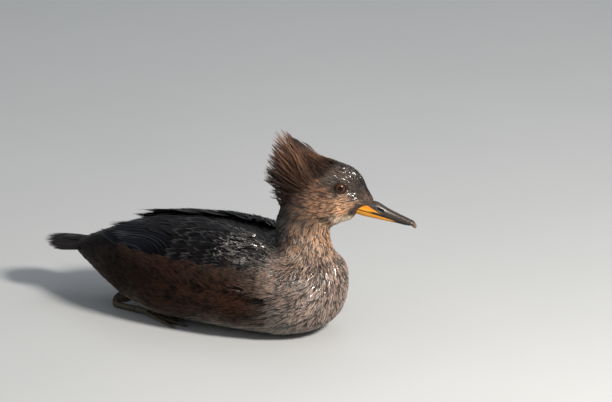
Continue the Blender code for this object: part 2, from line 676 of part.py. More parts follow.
def crest_vane(a, out, z, draw):
    """One crest feather, rooted in the core and bent upwards a little on its way to the fan's edge."""
    pivot_a, pivot_z = CREST_PIVOT
    direction = math.degrees(math.atan2(z - pivot_z, pivot_a - a))
    share = (CREST_SWEEP[0] - direction) / (CREST_SWEEP[0] - CREST_SWEEP[1]) + draw.uniform(-0.02, 0.02)
    reach = (1.0 - CREST_SHORTER * abs(out)) * draw.uniform(*CREST_REACH)
    tip_a = a + (smooth(CREST_TIPS, share, 1) - a) * reach
    tip_z = z + (smooth(CREST_TIPS, share, 2) - z) * reach
    tip_out = math.copysign(min(abs(out), CREST_PINCH), out) * draw.uniform(*CREST_STRAY)
    ahead = Vector((tip_a - a, tip_out - out, tip_z - z)).normalized()
    lean = Vector((0, 1, 0)) if abs(out) < 0.1 else Vector((0, math.copysign(1, out), 0))
    rising = ahead.cross(lean).normalized()
    if rising.z < 0:
        rising = -rising
    inwards = (Vector((CREST_HEART[0], 0, CREST_HEART[1])) - Vector((a, out, z))).normalized() * CREST_SINK
    bend = draw.uniform(*CREST_BEND)
    frames = []
    for k in range(CREST_LENGTHS + 1):
        t = k / CREST_LENGTHS
        spot = Vector((a, out, z)).lerp(Vector((tip_a, tip_out, tip_z)), t)
        spot += inwards * (1 - t) - rising * bend * math.sin(math.pi * t)
        middle = head_place(spot.x, spot.y, spot.z)
        across = (head_place(*(spot + rising)) - middle).normalized()
        along = (head_place(*(spot + ahead)) - middle).normalized()
        half = CREST_HALF * (0.7 + 0.3 * min(t * 3, 1)) * (1 - 0.87 * t ** 2.6)
        frames.append((middle, half, across, along.cross(across).normalized()))
    return vane(frames, CREST_THICK)


def make_tail(core):
    """Tail feathers in a shallow fan, the middle pair on top and each outer one under its neighbour."""
    draw = random.Random(3)
    made = []
    for k in range(TAIL_PAIRS):
        for side in (1, -1):
            level = 0.0 if k == 0 else -TAIL_FIRST_STEP - TAIL_STEP * (k - 1)
            if k == 0 and side > 0:
                level = TAIL_MIDDLE_STEP
            turn = side * math.radians(TAIL_TURN * (k + 0.4))
            start = Vector((TAIL_ROOT, side * TAIL_APART * (k + 0.5), TAIL_HEIGHT + level))
            reach = (TAIL_ROOT - TAIL_TIP) * (1 - TAIL_SHORTER * k - TAIL_ROUNDER * k * k)
            reach += draw.uniform(-TAIL_STRAY, TAIL_STRAY)
            along = Vector((-math.cos(turn), math.sin(turn), -TAIL_DROP)).normalized()
            roll = 0.0 if k == 0 else side * math.radians(TAIL_ROLL)
            up = (Matrix.Rotation(-roll, 3, "X") @ Vector((0, 0, 1))).normalized()
            across = up.cross(along).normalized()
            frames = []
            for n in range(TAIL_LENGTHS + 1):
                t = n / TAIL_LENGTHS
                half = TAIL_HALF * feather_shape(t, *TAIL_ENDS)
                frames.append(((start + along * reach * t) * MM, half, across, up))
            made.append(vane(frames, TAIL_THICK))
    return keep_largest(combine(core, made, "UNION", "MANIFOLD"))


def bill_ring(a, half, edge, far):
    """Half an ellipse across the bill, from edge to edge over its far line."""
    turns = [math.pi * k / BILL_SIDES for k in range(BILL_SIDES + 1)]
    return [head_place(a, half * math.cos(t), edge + (far - edge) * math.sin(t)) for t in turns]


def make_bill():
    """The bill's two halves, with the line of the mouth between them and the nostrils in the upper."""
    upper_rings, lower_rings = [], []
    for k in range(BILL_RINGS):
        a = BILL[0][0] + (NAIL_START - BILL[0][0]) * k / (BILL_RINGS - 1)
        half, top, mouth, low = (smooth(BILL, a, n) for n in (1, 2, 3, 4))
        edge = mouth + MOUTH_GAP / 2
        upper_rings.append(bill_ring(a, half, edge, top))
        if a < LOWER_TIP:
            edge = mouth - MOUTH_GAP / 2
            lower_rings.append(bill_ring(a, half - LOWER_NARROWER, edge, low))
    for a, half, top, low in NAIL:
        upper_rings.append(bill_ring(a, half, low, top))
    lower_rings.append(bill_ring(*LOWER_END))
    upper = loft("bill_upper", upper_rings)
    lower = loft("bill_lower", lower_rings)
    nostrils = []
    for side in (1, -1):
        a, out, z = NOSTRIL
        ends = [head_place(a + step, side * out, z - NOSTRIL_FALL * step) / MM for step in NOSTRIL_STEPS]
        nostrils.append(tube("nostril", ends, NOSTRIL_RADII, sides=8))
    combine(upper, [head_form(GAP), *nostrils], "DIFFERENCE")
    combine(lower, [head_form(GAP)], "DIFFERENCE")
    return keep_largest(upper), keep_largest(lower)


def make_leg(side):
    """The shank lies on the floor, the shin rises from heel to belly, and the webbed foot lies ahead."""
    heel, knee, ankle = LEG_HEEL, LEG_TOP, FOOT_ROOT
    bend = (heel[0] + SHIN_BEND[0], heel[1], heel[2] + SHIN_BEND[1])
    path = [knee, [(a + b) / 2 for a, b in zip(knee, heel)], bend, heel]
    shin = tube("leg", [(x, side * y, z) for x, y, z in path], SHIN_RADII)
    shank = tube("shank", [(x, side * y, z) for x, y, z in (
        (heel[0] - 2.5, heel[1], heel[2]),
        (heel[0], heel[1], heel[2]),
        ((heel[0] * 2 + ankle[0]) / 3, (heel[1] * 2 + ankle[1]) / 3, SHANK_LOW),
        ((heel[0] + ankle[0] * 2) / 3, (heel[1] + ankle[1] * 2) / 3, SHANK_LOW),
        (ankle[0] + 2, ankle[1], SHANK_LOW),
    )], SHANK_RADII)
    toes, tips = [], []
    for turn, length in TOES:
        c, s = math.cos(math.radians(turn)), math.sin(math.radians(turn))
        path, radii = [], []
        for k in range(TOE_LENGTHS + 1):
            t = k / TOE_LENGTHS
            height = TOE_RADIUS * (1 - t / 2)
            path.append((ankle[0] + length * c * t, side * (ankle[1] + length * s * t), height))
            swell = 1 + TOE_SWELL * math.cos(2 * math.pi * t * TOE_JOINTS)
            thick = TOE_RADIUS * (1 - TOE_TAPER * t) * swell if k < TOE_LENGTHS else CLAW_RADIUS
            radii.append((thick, thick))
        toes.append(tube("toe", path, radii, sides=TOE_SIDES))
        tips.append((ankle[0] + length * c * WEB_REACH, side * (ankle[1] + length * s * WEB_REACH)))
    hind = [(ankle[0], side * ankle[1], SHANK_LOW - 0.8)]
    hind += [(ankle[0] + x, side * (ankle[1] + y), z) for x, y, z in (HIND_BEND, HIND_TIP)]
    thicknesses = [(thick, thick) for thick in HIND_RADII]
    toes.append(tube("hind_toe", hind, thicknesses, sides=TOE_SIDES))
    toes.append(web(ankle, side, tips))
    foot = combine(shin, [shank, *toes], "UNION")
    cutters = [slab((-200, -200, -50), (200, 200, 0)), grown_body(BELLY_GAP)]
    cut = ankle[0] - FOOT_STUB
    place = (cut, side * (ankle[1] - FOOT_STUB * math.tan(LEG_TURN)), 0)
    cutters.append(slab((-GAP / 2, -8, -5), (GAP / 2, 8, 12), Matrix.Rotation(side * LEG_TURN, 4, "Z"), place))
    combine(foot, cutters, "DIFFERENCE")
    letter = "l" if side > 0 else "r"
    made = {}
    for shell in shells_of(foot):
        middle = sum((v.co for v in shell.verts), Vector()) / len(shell.verts)
        name = ("foot_" if middle.x > cut * MM else "leg_") + letter
        if name not in made:
            made[name] = new_object(name, shell)
    bpy.data.objects.remove(foot)
    return made


def web(ankle, side, tips):
    """The skin between the toes, a thin plate with its front edge drawn in between each pair."""
    edge = [(ankle[0] - 1.0, side * ankle[1])]
    for first, second in zip(tips, tips[1:]):
        for k in range(WEB_STEPS):
            t = k / WEB_STEPS
            sag = 1 - WEB_SAG * math.sin(math.pi * t)
            x = first[0] + (second[0] - first[0]) * t
            y = first[1] + (second[1] - first[1]) * t
            edge.append((ankle[0] + (x - ankle[0]) * sag, side * ankle[1] + (y - side * ankle[1]) * sag))
    edge.append(tips[-1])
    rings = [[Vector((x, y, z)) * MM for x, y in edge] for z in (-0.5, WEB_THICK)]
    return loft("web", rings)


def grown_body(grown):
    turns = [2 * math.pi * k / BODY_SIDES for k in range(BODY_SIDES)]
    rings = []
    for x in eased(BODY_END, BODY_FRONT, BODY_RINGS, 0.6):
        if smooth(BODY, x) < 0.01:
            rings.append([body_point(x, 0.0)])
            continue
        ring = []
        for t in turns:
            outward = Vector((0, math.sin(t), math.cos(t)))
            ring.append(body_point(x, t) + outward * grown * MM)
        rings.append(ring)
    return loft("grown", rings)


def finish(made):
    """Gives each piece its material and smooth shading with sharp edges kept."""
    for name, piece in made.items():
        colour, roughness = FINISHES[name.split("_")[0]]
        piece.data.materials.clear()
        piece.data.materials.append(material(name + "_finish", colour, roughness))
        piece.data.shade_smooth()
        piece.data.set_sharp_from_angle(angle=math.radians(38))


# Colour and roughness of each kind of piece
FINISHES = {
    "torso": ((0.085, 0.062, 0.048), 0.62),
    "neck": ((0.16, 0.115, 0.085), 0.62),
    "head": ((0.15, 0.10, 0.07), 0.6),
    "crest": ((0.20, 0.085, 0.045), 0.62),
    "tail": ((0.035, 0.03, 0.03), 0.55),
    "wing": ((0.03, 0.028, 0.032), 0.5),
    "bill": ((0.30, 0.16, 0.04), 0.35),
    "eye": ((0.10, 0.03, 0.015), 0.08),
    "leg": ((0.16, 0.13, 0.08), 0.5),
    "foot": ((0.15, 0.12, 0.075), 0.5),
}

for old in list(bpy.data.objects):
    bpy.data.objects.remove(old)
BIRD = bpy.data.collections.new("hooded_merganser")
bpy.context.scene.collection.children.link(BIRD)

pieces = part_whole()
pieces["crest"] = make_crest(pieces["crest"])
pieces["tail"] = make_tail(pieces["tail"])
pieces["bill_upper"], pieces["bill_lower"] = make_bill()
for hand, letter in ((1, "l"), (-1, "r")):
    pieces["wing_" + letter] = make_wing(hand)
    pieces["eye_" + letter] = ball(EYE_RADIUS, eye_middle(hand), "eye_" + letter)
    pieces.update(make_leg(hand))
finish(pieces)
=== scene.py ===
# %% [markdown]
# # A hooded merganser on her belly, feather by feather
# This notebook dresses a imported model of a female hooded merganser, a small diving duck that has just come
# up wet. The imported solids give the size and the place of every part. Here they get a soft skin, a coat of
# small feathers, folded wings, a crest of loose filaments, a horny bill, glossy eyes and webbed feet.
# Lengths in the tables are millimetres, and they become metres only where a mesh is made.

# %% Load the fixed frame
import json
import math
import bmesh
import bpy
import numpy as np
from mathutils import Matrix, Vector, kdtree

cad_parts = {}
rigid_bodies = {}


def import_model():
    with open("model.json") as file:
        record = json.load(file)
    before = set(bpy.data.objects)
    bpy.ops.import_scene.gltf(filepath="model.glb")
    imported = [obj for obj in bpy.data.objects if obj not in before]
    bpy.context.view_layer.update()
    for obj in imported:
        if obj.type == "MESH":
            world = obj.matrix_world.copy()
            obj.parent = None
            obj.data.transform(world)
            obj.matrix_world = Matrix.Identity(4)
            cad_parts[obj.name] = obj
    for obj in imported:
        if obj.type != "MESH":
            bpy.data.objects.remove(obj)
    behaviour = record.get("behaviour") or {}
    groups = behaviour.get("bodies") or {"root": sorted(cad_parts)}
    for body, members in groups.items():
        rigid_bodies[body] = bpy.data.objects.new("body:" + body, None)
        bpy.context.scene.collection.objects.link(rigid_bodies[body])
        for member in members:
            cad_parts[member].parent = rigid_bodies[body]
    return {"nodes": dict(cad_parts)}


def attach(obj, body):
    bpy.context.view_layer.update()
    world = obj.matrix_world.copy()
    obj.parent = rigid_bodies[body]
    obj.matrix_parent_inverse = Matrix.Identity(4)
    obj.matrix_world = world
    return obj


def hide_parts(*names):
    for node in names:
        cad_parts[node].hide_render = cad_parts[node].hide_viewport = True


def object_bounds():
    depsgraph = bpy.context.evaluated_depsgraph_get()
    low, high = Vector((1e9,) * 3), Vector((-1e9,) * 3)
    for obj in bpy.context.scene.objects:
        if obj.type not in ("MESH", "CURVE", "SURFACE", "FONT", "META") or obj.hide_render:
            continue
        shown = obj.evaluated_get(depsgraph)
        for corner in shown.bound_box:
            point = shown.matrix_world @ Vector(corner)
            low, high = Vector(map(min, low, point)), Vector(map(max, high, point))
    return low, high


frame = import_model()
cad_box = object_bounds()
MM = 0.001
print("nodes in the frame:", sorted(frame["nodes"]))

# %% [markdown]
# The body is a boat: widest just behind the middle, round below and pointed at the stern. A table gives its
# width, top, widest line and bottom at a few places along it, and a smooth curve through the table that
# never overshoots gives all the places between. The folded wings lie on it as a cloak. The neck is a
# column, and the head is an egg turned a little to the bird's left. The same tables made the solids, so
# skin and solids agree.

# %% Tables of the bird's shape
HEAD_PLACE, HEAD_YAW = (112.3, 11.2), math.radians(20.0)
EYE_HEIGHT, EYE_OUT, EYE_RADIUS = 123.0, 9.6, 6.0
FLAT_CUT = -1.2
TOP_FULL, BELLY_FULL, HEAD_FULL = 2.2, 2.4, 2.2
# x, half width, top, height of the widest line, bottom
BODY = (
    (-126, 0.0, 40.0, 40.0, 40.0), (-124, 7.0, 44.0, 40.0, 37.0), (-118, 14.0, 48.0, 41.0, 34.2),
    (-105, 24.0, 54.0, 42.0, 28.7), (-85, 35.0, 63.0, 41.0, 17.5), (-60, 46.0, 71.5, 39.0, 6.0),
    (-30, 54.5, 77.5, 37.0, FLAT_CUT), (5, 58.0, 80.0, 36.0, FLAT_CUT), (40, 57.0, 77.0, 36.0, FLAT_CUT),
    (70, 51.5, 71.0, 36.0, FLAT_CUT), (90, 44.0, 69.0, 37.0, 2.4), (104, 34.5, 65.5, 38.0, 8.8),
    (111, 24.0, 61.0, 40.0, 17.5), (115, 13.0, 54.0, 42.0, 27.9), (116.5, 0.0, 43.0, 43.0, 43.0),
)
# The outer face of the folded wings: x, half width, top, height of the widest line
CLOAK = (
    (-95, 31.0, 70.4, 47.0), (-75, 40.0, 72.6, 44.0), (-60, 47.2, 74.4, 42.0), (-30, 56.4, 78.7, 39.0),
    (10, 60.0, 81.6, 38.0), (40, 58.6, 79.0, 38.0), (70, 53.6, 73.2, 38.0),
)
# The neck: height, x and y of its middle, half length, half width, turn in degrees
NECK = (
    (40.0, 82.0, 0.0, 25.0, 36.0, 0.0), (50.0, 82.5, 0.0, 30.0, 37.0, 0.0),
    (56.0, 82.8, 0.0, 30.0, 34.0, 0.0), (61.0, 83.0, 0.0, 28.5, 29.5, 0.0),
    (67.0, 83.2, 0.0, 25.4, 24.0, 2.0), (75.0, 83.1, 0.0, 22.9, 19.4, 6.0),
    (83.0, 83.0, 0.2, 22.0, 17.2, 12.0), (91.0, 82.9, 0.5, 21.7, 16.5, 18.0),
    (100.0, 83.5, 0.8, 20.5, 15.5, 20.0), (108.0, 85.0, 1.2, 16.0, 13.0, 20.0),
)
# The head along its own axis, from the middle of the eyes: place, half width, top, widest line, bottom
HEAD = (
    (-46, 0.0, 118.0, 118.0, 118.0), (-45, 5.0, 127.0, 118.0, 108.0), (-41, 9.5, 136.0, 118.0, 99.0),
    (-34, 13.5, 141.0, 117.0, 93.0), (-24, 16.0, 143.5, 116.0, 88.0), (-14, 16.6, 143.5, 115.0, 87.0),
    (-6, 16.0, 141.6, 115.0, 88.5), (1, 14.8, 139.6, 115.0, 92.0), (8, 12.6, 137.0, 114.0, 95.0),
    (10.5, 11.7, 135.3, 113.5, 98.0), (13, 10.8, 133.0, 113.0, 101.8), (16, 9.6, 129.3, 112.5, 104.6),
    (20, 7.6, 119.8, 111.5, 106.0), (24, 4.6, 113.2, 109.8, 106.8), (26.5, 0.0, 108.6, 108.6, 108.6),
)
# The bill along the head's axis: place, half width, culmen, line of the mouth, lower edge
BILL = (
    (4, 5.6, 107.5, 104.5, 100.0), (12, 6.3, 110.5, 105.0, 99.4), (16, 6.3, 111.5, 104.2, 98.3),
    (26, 5.3, 110.6, 101.4, 96.4), (37.6, 4.1, 104.7, 97.9, 94.4), (43, 3.7, 102.1, 96.3, 93.6),
    (50, 3.4, 99.0, 94.2, 92.1), (56, 3.1, 96.3, 92.5, 90.8),
)
# x, and the angles of the folded wing's upper and lower edges
WING_EDGES = (
    (-62, 12.0, 66.0), (-20, 9.0, 68.0), (20, 11.0, 68.0),
    (45, 17.0, 66.0), (62, 27.0, 62.0), (70, 42.0, 54.0),
)


# %% Curves and sections from the tables
def smooth(table, x, column=1):
    """The value at x of a smooth curve through a table's points, which never overshoots them."""
    xs, ys = np.array([row[0] for row in table], float), np.array([row[column] for row in table], float)
    x = np.clip(np.asarray(x, float), xs[0], xs[-1])
    secants = np.diff(ys) / np.diff(xs)
    before, after = np.append(secants[0], secants), np.append(secants, secants[-1])
    same = before * after > 0
    slopes = np.where(same, 2 * before * after / np.where(same, before + after, 1.0), 0.0)
    i = np.clip(np.searchsorted(xs, x, "right") - 1, 0, len(xs) - 2)
    h = xs[i + 1] - xs[i]
    t = (x - xs[i]) / h
    held = ys[i] * (1 + 2 * t) * (1 - t) ** 2 + ys[i + 1] * t * t * (3 - 2 * t)
    return held + slopes[i] * h * t * (1 - t) ** 2 + slopes[i + 1] * h * t * t * (t - 1)


def egg(angle, half, top, middle, bottom, top_full, bottom_full):
    """Sideways and height of an egg-shaped section. The angle is 0 on top and a quarter turn on the left."""
    s, c = np.sin(angle), np.cos(angle)
    full = np.where(c >= 0, top_full, bottom_full)
    reach = np.where(c >= 0, top - middle, middle - bottom)
    return half * np.sign(s) * abs(s) ** (2 / full), middle + reach * np.sign(c) * abs(c) ** (2 / full)


def stacked(x, y, z):
    return np.stack(np.broadcast_arrays(x, y, z), -1).astype(float)


def torso_at(x, angle):
    y, z = egg(angle, *(smooth(BODY, x, k) for k in (1, 2, 3, 4)), TOP_FULL, BELLY_FULL)
    return stacked(x, y, z)


def cloak_at(x, angle):
    y, z = egg(angle, *(smooth(CLOAK, x, k) for k in (1, 2, 3)), 0.0, TOP_FULL, BELLY_FULL)
    return stacked(x, y, z)


def neck_at(height, angle):
    x, y, length, width, turned = (smooth(NECK, height, k) for k in range(1, 6))
    along, across, turned = length * np.cos(angle), width * np.sin(angle), np.radians(turned)
    return stacked(x + along * np.cos(turned) - across * np.sin(turned),
                   y + along * np.sin(turned) + across * np.cos(turned), height)


def head_place(a, sideways, height):
    """World millimetres of a point given along the head's axis, to its left, and above the floor."""
    c, s = math.cos(HEAD_YAW), math.sin(HEAD_YAW)
    return stacked(HEAD_PLACE[0] + a * c - sideways * s, HEAD_PLACE[1] + a * s + sideways * c, height)


def head_coordinates(points):
    """Along, sideways and height of world points, as head_place takes them."""
    c, s = math.cos(HEAD_YAW), math.sin(HEAD_YAW)
    x, y = points[..., 0] - HEAD_PLACE[0], points[..., 1] - HEAD_PLACE[1]
    return x * c + y * s, -x * s + y * c, points[..., 2]


def head_at(a, angle):
    return head_place(a, *egg(angle, *(smooth(HEAD, a, k) for k in (1, 2, 3, 4)), HEAD_FULL, HEAD_FULL))


def unit(vectors):
    return vectors / np.maximum(np.linalg.norm(vectors, axis=-1, keepdims=True), 1e-9)


def ramp(value, low, high):
    """0 below low, 1 above high, and a smooth step between."""
    t = np.clip((np.asarray(value, float) - low) / (high - low), 0, 1)
    return t * t * (3 - 2 * t)


print("body length", BODY[-1][0] - BODY[0][0], "mm; widest", round(2 * float(smooth(CLOAK, 10)), 1), "mm")

# %% [markdown]
# The picture was taken from low over the water, from the bird's right and a little ahead of her. A long
# lens from five metres gives the same calm view. The floor is a plain pale sheet. One soft light stands
# ahead and to the right where the low sun was, pale surroundings fill in, and a second light from behind
# rims the crest.

# %% Camera, floor and soft studio light
VIEW_AZIMUTH, VIEW_ELEVATION = math.radians(30.0), math.radians(17.0)
VIEW_DISTANCE, VIEW_WIDTH = 5.0, 0.4896  # metres, and how much of the bird's plane the picture is wide
VIEW_SHIFT_RIGHT, VIEW_SHIFT_UP, VIEW_LOWERED = 0.0744, 0.10024, 0.010
SENSOR_WIDTH = 36.0
# Each light: azimuth and elevation in degrees, width in metres, power, colour
LIGHTS = {
    "key": (74, 40, 0.34, 34, (1.0, 0.95, 0.87)),
    "rim": (195, 50, 0.8, 2.5, (0.88, 0.94, 1.0)),
}
LIGHT_AIM, LIGHT_DISTANCE = (0.03, 0.0, 0.06), 1.6
SURROUNDINGS, SURROUNDINGS_STRENGTH = (0.90, 0.95, 1.0), 0.34


def towards(azimuth, elevation):
    """The direction from the bird to something at this azimuth and elevation."""
    level = math.cos(elevation)
    return Vector((math.sin(azimuth) * level, -math.cos(azimuth) * level, math.sin(elevation)))


def add_camera():
    back = towards(VIEW_AZIMUTH, VIEW_ELEVATION)
    right = Vector((math.cos(VIEW_AZIMUTH), math.sin(VIEW_AZIMUTH), 0.0))
    up = back.cross(right)
    target = right * VIEW_SHIFT_RIGHT + up * VIEW_SHIFT_UP - Vector((0, 0, VIEW_LOWERED))
    lens = bpy.data.cameras.new("camera")
    lens.sensor_width = SENSOR_WIDTH
    lens.lens = SENSOR_WIDTH * VIEW_DISTANCE / VIEW_WIDTH
    made = bpy.data.objects.new("camera", lens)
    turn = Matrix((right, up, back)).transposed().to_4x4()
    made.matrix_world = Matrix.Translation(target + back * VIEW_DISTANCE) @ turn
    bpy.context.scene.collection.objects.link(made)
    bpy.context.scene.camera = made
    return made


def soft_light(name, azimuth, elevation, size, power, colour):
    lamp = bpy.data.lights.new(name, "AREA")
    lamp.shape, lamp.size, lamp.energy, lamp.color = "DISK", size, power, colour
    place = towards(math.radians(azimuth), math.radians(elevation))
    made = bpy.data.objects.new(name, lamp)
    made.location = Vector(LIGHT_AIM) + place * LIGHT_DISTANCE
    made.rotation_euler = place.to_track_quat("Z", "Y").to_euler()
    bpy.context.scene.collection.objects.link(made)


def add_world():
    world = bpy.data.worlds.new("studio")
    world.use_nodes = True
    glow = world.node_tree.nodes["Background"].inputs
    glow["Color"].default_value = (*SURROUNDINGS, 1.0)
    glow["Strength"].default_value = SURROUNDINGS_STRENGTH
    bpy.context.scene.world = world


camera = add_camera()
bpy.context.scene.view_settings.view_transform = "Standard"
add_world()
for name, light in LIGHTS.items():
    soft_light(name, *light)
print("camera", tuple(round(v, 3) for v in camera.location), "lens", round(camera.data.lens, 1), "mm")

# %% [markdown]
# Every mesh here is made from arrays. One helper turns points in millimetres into a mesh object in metres,
# and another writes what varies over it, such as colours, as named attributes that the finishes read.

# %% Helpers for meshes and attributes
VECTOR, COLOUR = "FLOAT_VECTOR", "FLOAT_COLOR"
FIELDS = {"FLOAT": "value", "INT": "value", VECTOR: "vector", COLOUR: "color"}


def linked(obj):
    bpy.context.scene.collection.objects.link(obj)
    return obj


def mark(obj, name, values, kind="FLOAT"):
    """Writes one value for each point of an object as a named attribute."""
    values = np.ascontiguousarray(values, np.int32 if kind == "INT" else np.float32)
    made = obj.data.attributes.new(name, kind, "POINT")
    if kind == COLOUR:
        values = np.concatenate([values, np.ones((len(values), 1), np.float32)], 1)
    made.data.foreach_set(FIELDS[kind], values.ravel())


def get_attribute(mesh, name, size=1):
    found = mesh.attributes[name]
    values = np.empty(len(found.data) * size, np.float32)
    found.data.foreach_get(FIELDS[found.data_type], values)
    return values.reshape(-1, size) if size > 1 else values


def points_of(mesh):
    values = np.empty(len(mesh.vertices) * 3, np.float32)
    mesh.vertices.foreach_get("co", values)
    return values.reshape(-1, 3).astype(float)


def normals_of(mesh):
    values = np.empty(len(mesh.vertices) * 3, np.float32)
    mesh.vertex_normals.foreach_get("vector", values)
    return values.reshape(-1, 3).astype(float)


def mesh_object(name, points, faces, edges=()):
    """A smooth-shaded mesh object in metres from points in millimetres."""
    mesh = bpy.data.meshes.new(name)
    places = np.asarray(points, float).reshape(-1, 3) * MM
    mesh.from_pydata(places.tolist(), list(edges), [tuple(f) for f in faces])
    mesh.update()
    mesh.shade_smooth()
    return linked(bpy.data.objects.new(name, mesh))


def grid_faces(rows, columns, closed=True, start=0):
    """Quads over rows of points, wrapped round each row where closed."""
    faces = []
    for i in range(rows - 1):
        for j in range(columns if closed else columns - 1):
            n = (j + 1) % columns
            faces.append((start + i * columns + j, start + (i + 1) * columns + j,
                          start + (i + 1) * columns + n, start + i * columns + n))
    return faces


def lofted(grid, start=0):
    """Points and faces of a closed tube over a grid of points, its ends capped with one face each."""
    rows, columns = grid.shape[:2]
    faces = grid_faces(rows, columns, True, start)
    faces.append(tuple(start + j for j in range(columns)))
    faces.append(tuple(start + (rows - 1) * columns + j for j in reversed(range(columns))))
    return grid.reshape(-1, 3), faces


def turn_outwards(obj, merged=0.0):
    """Turns every face to the outside, after points closer than this many metres are merged."""
    bm = bmesh.new()
    bm.from_mesh(obj.data)
    if merged:
        bmesh.ops.remove_doubles(bm, verts=bm.verts, dist=merged)
    bmesh.ops.recalc_face_normals(bm, faces=bm.faces)
    bm.to_mesh(obj.data)
    bm.free()
    obj.data.shade_smooth()
    return obj


def settled(obj):
    """Replaces an object's mesh by what its modifiers give, removes them, and turns its faces outwards."""
    graph = bpy.context.evaluated_depsgraph_get()
    mesh = bpy.data.meshes.new_from_object(obj.evaluated_get(graph))
    obj.modifiers.clear()
    old, obj.data = obj.data, mesh
    bpy.data.meshes.remove(old)
    return turn_outwards(obj, 1e-6)


def hand_in(obj, nodes=(), finish=None):
    """Makes a finished piece part of the bird: its finish, its body, and the solids it stands for, which are
    hidden.
    """
    if finish:
        obj.data.materials.clear()
        obj.data.materials.append(finish)
    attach(obj, "root")
    if nodes:
        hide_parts(*nodes)
    obj.data.calc_loop_triangles()
    print(f"{obj.name}: {len(obj.data.loop_triangles)} triangles")
    return obj


print("points are handed to Blender in metres, one millimetre being", MM)

# %% [markdown]
# Under the feathers lies one skin over body, neck, head, folded wings and the root of the tail, so that no
# seam shows between them. The forms are lofted from the tables, a voxel remesh welds them, a light
# smoothing rounds the folds where neck meets breast, and then the skin sinks by the depth of the coat.
# Round each eye it sinks behind the eyeball, as a real socket does.

# %% One skin from all the forms
VOXEL = 0.00125
SIDES = np.linspace(0, 2 * np.pi, 97)[:-1]
COAT_DEPTH, FACE_DEPTH, WING_DEPTH, CREST_DEPTH = 1.3, 0.55, 1.6, 2.2
WING_FRONT, WING_REAR = 70.0, -62.0
WING_INNER = np.array((1.0, 0.93, 0.97))  # the share of the torso's sizes at which the wing's inner face lies
SOCKET_WIDE, SOCKET_DEEP = 4.9, 5.7  # the eye socket's radius, and its distance from the eye's middle
ABOVE_FLOOR = 0.05
CREST_LINE = ((-2.0, 145.0), (-54.0, 102.0))  # where the crest's feathers start: along the head, height
NOT_ON_WING = -50.0  # the lift that stands for a point away from the folded wings


def tables_grid(surface, low, high, rows):
    """A surface's points with its rows closer together near both ends."""
    along = low + (high - low) * (1 - np.cos(np.linspace(0, np.pi, rows))) / 2
    return surface(along[:, None], SIDES[None, :])


def wing_core(side):
    """The body of the folded wing: a shell between the torso and the cloak, thin along its rim."""
    u, v = np.linspace(0, 1, 61)[:, None], np.linspace(0, 1, 41)[None, :]
    x = WING_FRONT + (WING_REAR - WING_FRONT) * u
    upper, lower = smooth(WING_EDGES, x, 1), smooth(WING_EDGES, x, 2)
    angle = np.radians(upper + (lower - upper) * v)
    ends, edges = (full * np.sqrt(np.maximum(t * (1 - t), 0)) for full, t in ((5.0, u), (4.0, v)))
    rim = np.minimum(1.0, np.minimum(ends, edges))
    outer = torso_at(x, angle) * (1 - rim[..., None]) + cloak_at(x, angle) * rim[..., None]
    inner = torso_at(x, angle) * WING_INNER
    return np.concatenate([outer, inner[:, ::-1]], 1) * np.array((1.0, side, 1.0))


def tail_core():
    """The fleshy root of the tail, which carries the tail feathers."""
    x = np.linspace(-100, -124, 9)[:, None]
    return stacked(x, (15 - 8 * (x + 100) / -24) * np.sin(SIDES), 43.5 + 3.2 * np.cos(SIDES))


def make_skin():
    points, faces = [], []
    grids = [tables_grid(torso_at, -125.9, 116.4, 90), tables_grid(neck_at, 40.5, 107.5, 50),
             tables_grid(head_at, -45.9, 26.4, 70), wing_core(1), wing_core(-1), tail_core()]
    for grid in grids:
        more, rings = lofted(grid, sum(len(p) for p in points))
        points.append(more)
        faces += rings
    skin = mesh_object("skin", np.concatenate(points), faces)
    weld = skin.modifiers.new("Weld the forms", "REMESH")
    weld.mode, weld.voxel_size = "VOXEL", VOXEL
    relax = skin.modifiers.new("Relax", "SMOOTH")
    relax.factor, relax.iterations = 0.6, 8
    return settled(skin)


def on_head(points):
    """1 on the head and 0 on the neck and body, with a soft edge along the jaw and nape."""
    a, sideways, height = head_coordinates(points)
    return ramp(height - (92.0 - 0.12 * a), -4.0, 4.0)


def behind_crest_line(points):
    """Millimetres behind the slanting line where the crest's feathers start."""
    a, sideways, height = head_coordinates(points)
    (a0, h0), (a1, h1) = CREST_LINE
    return ((a - a0) * (h1 - h0) - (height - h0) * (a1 - a0)) / math.hypot(a1 - a0, h1 - h0)


def eye_middle(side):
    return head_place(0.0, side * EYE_OUT, EYE_HEIGHT)


def eye_axis(side):
    """Out of the eye: sideways, a little ahead and a little up."""
    return unit(head_place(3.2, side * 14.0, EYE_HEIGHT + 1.2) - head_place(0, 0, EYE_HEIGHT))


def sink_skin(skin):
    points, normals = points_of(skin.data) / MM, normals_of(skin.data)
    head = on_head(points)
    wings = ramp(cloak_lift(points), -4.0, -2.0)
    crest = ramp(behind_crest_line(points), -4, 6) * head
    depth = COAT_DEPTH + (FACE_DEPTH - COAT_DEPTH) * head
    depth = depth + (CREST_DEPTH - depth) * crest
    depth = np.maximum(depth, WING_DEPTH * wings)
    points = points - normals * depth[:, None]
    points[:, 2] = np.maximum(points[:, 2], ABOVE_FLOOR)
    for side in (1, -1):
        middle, axis = eye_middle(side), eye_axis(side)
        away = points - middle
        out = away @ axis
        ring = np.linalg.norm(away - out[:, None] * axis, axis=1)
        inside = (ring < SOCKET_WIDE) & (out > 0)
        wanted = np.sqrt(np.maximum(SOCKET_DEEP ** 2 - ring ** 2, 0.0))
        shift = np.where(inside, np.minimum(wanted - out, 0.0), 0.0)
        points += shift[:, None] * axis
    skin.data.vertices.foreach_set("co", (points * MM).astype(np.float32).ravel())
    skin.data.update()
    return skin


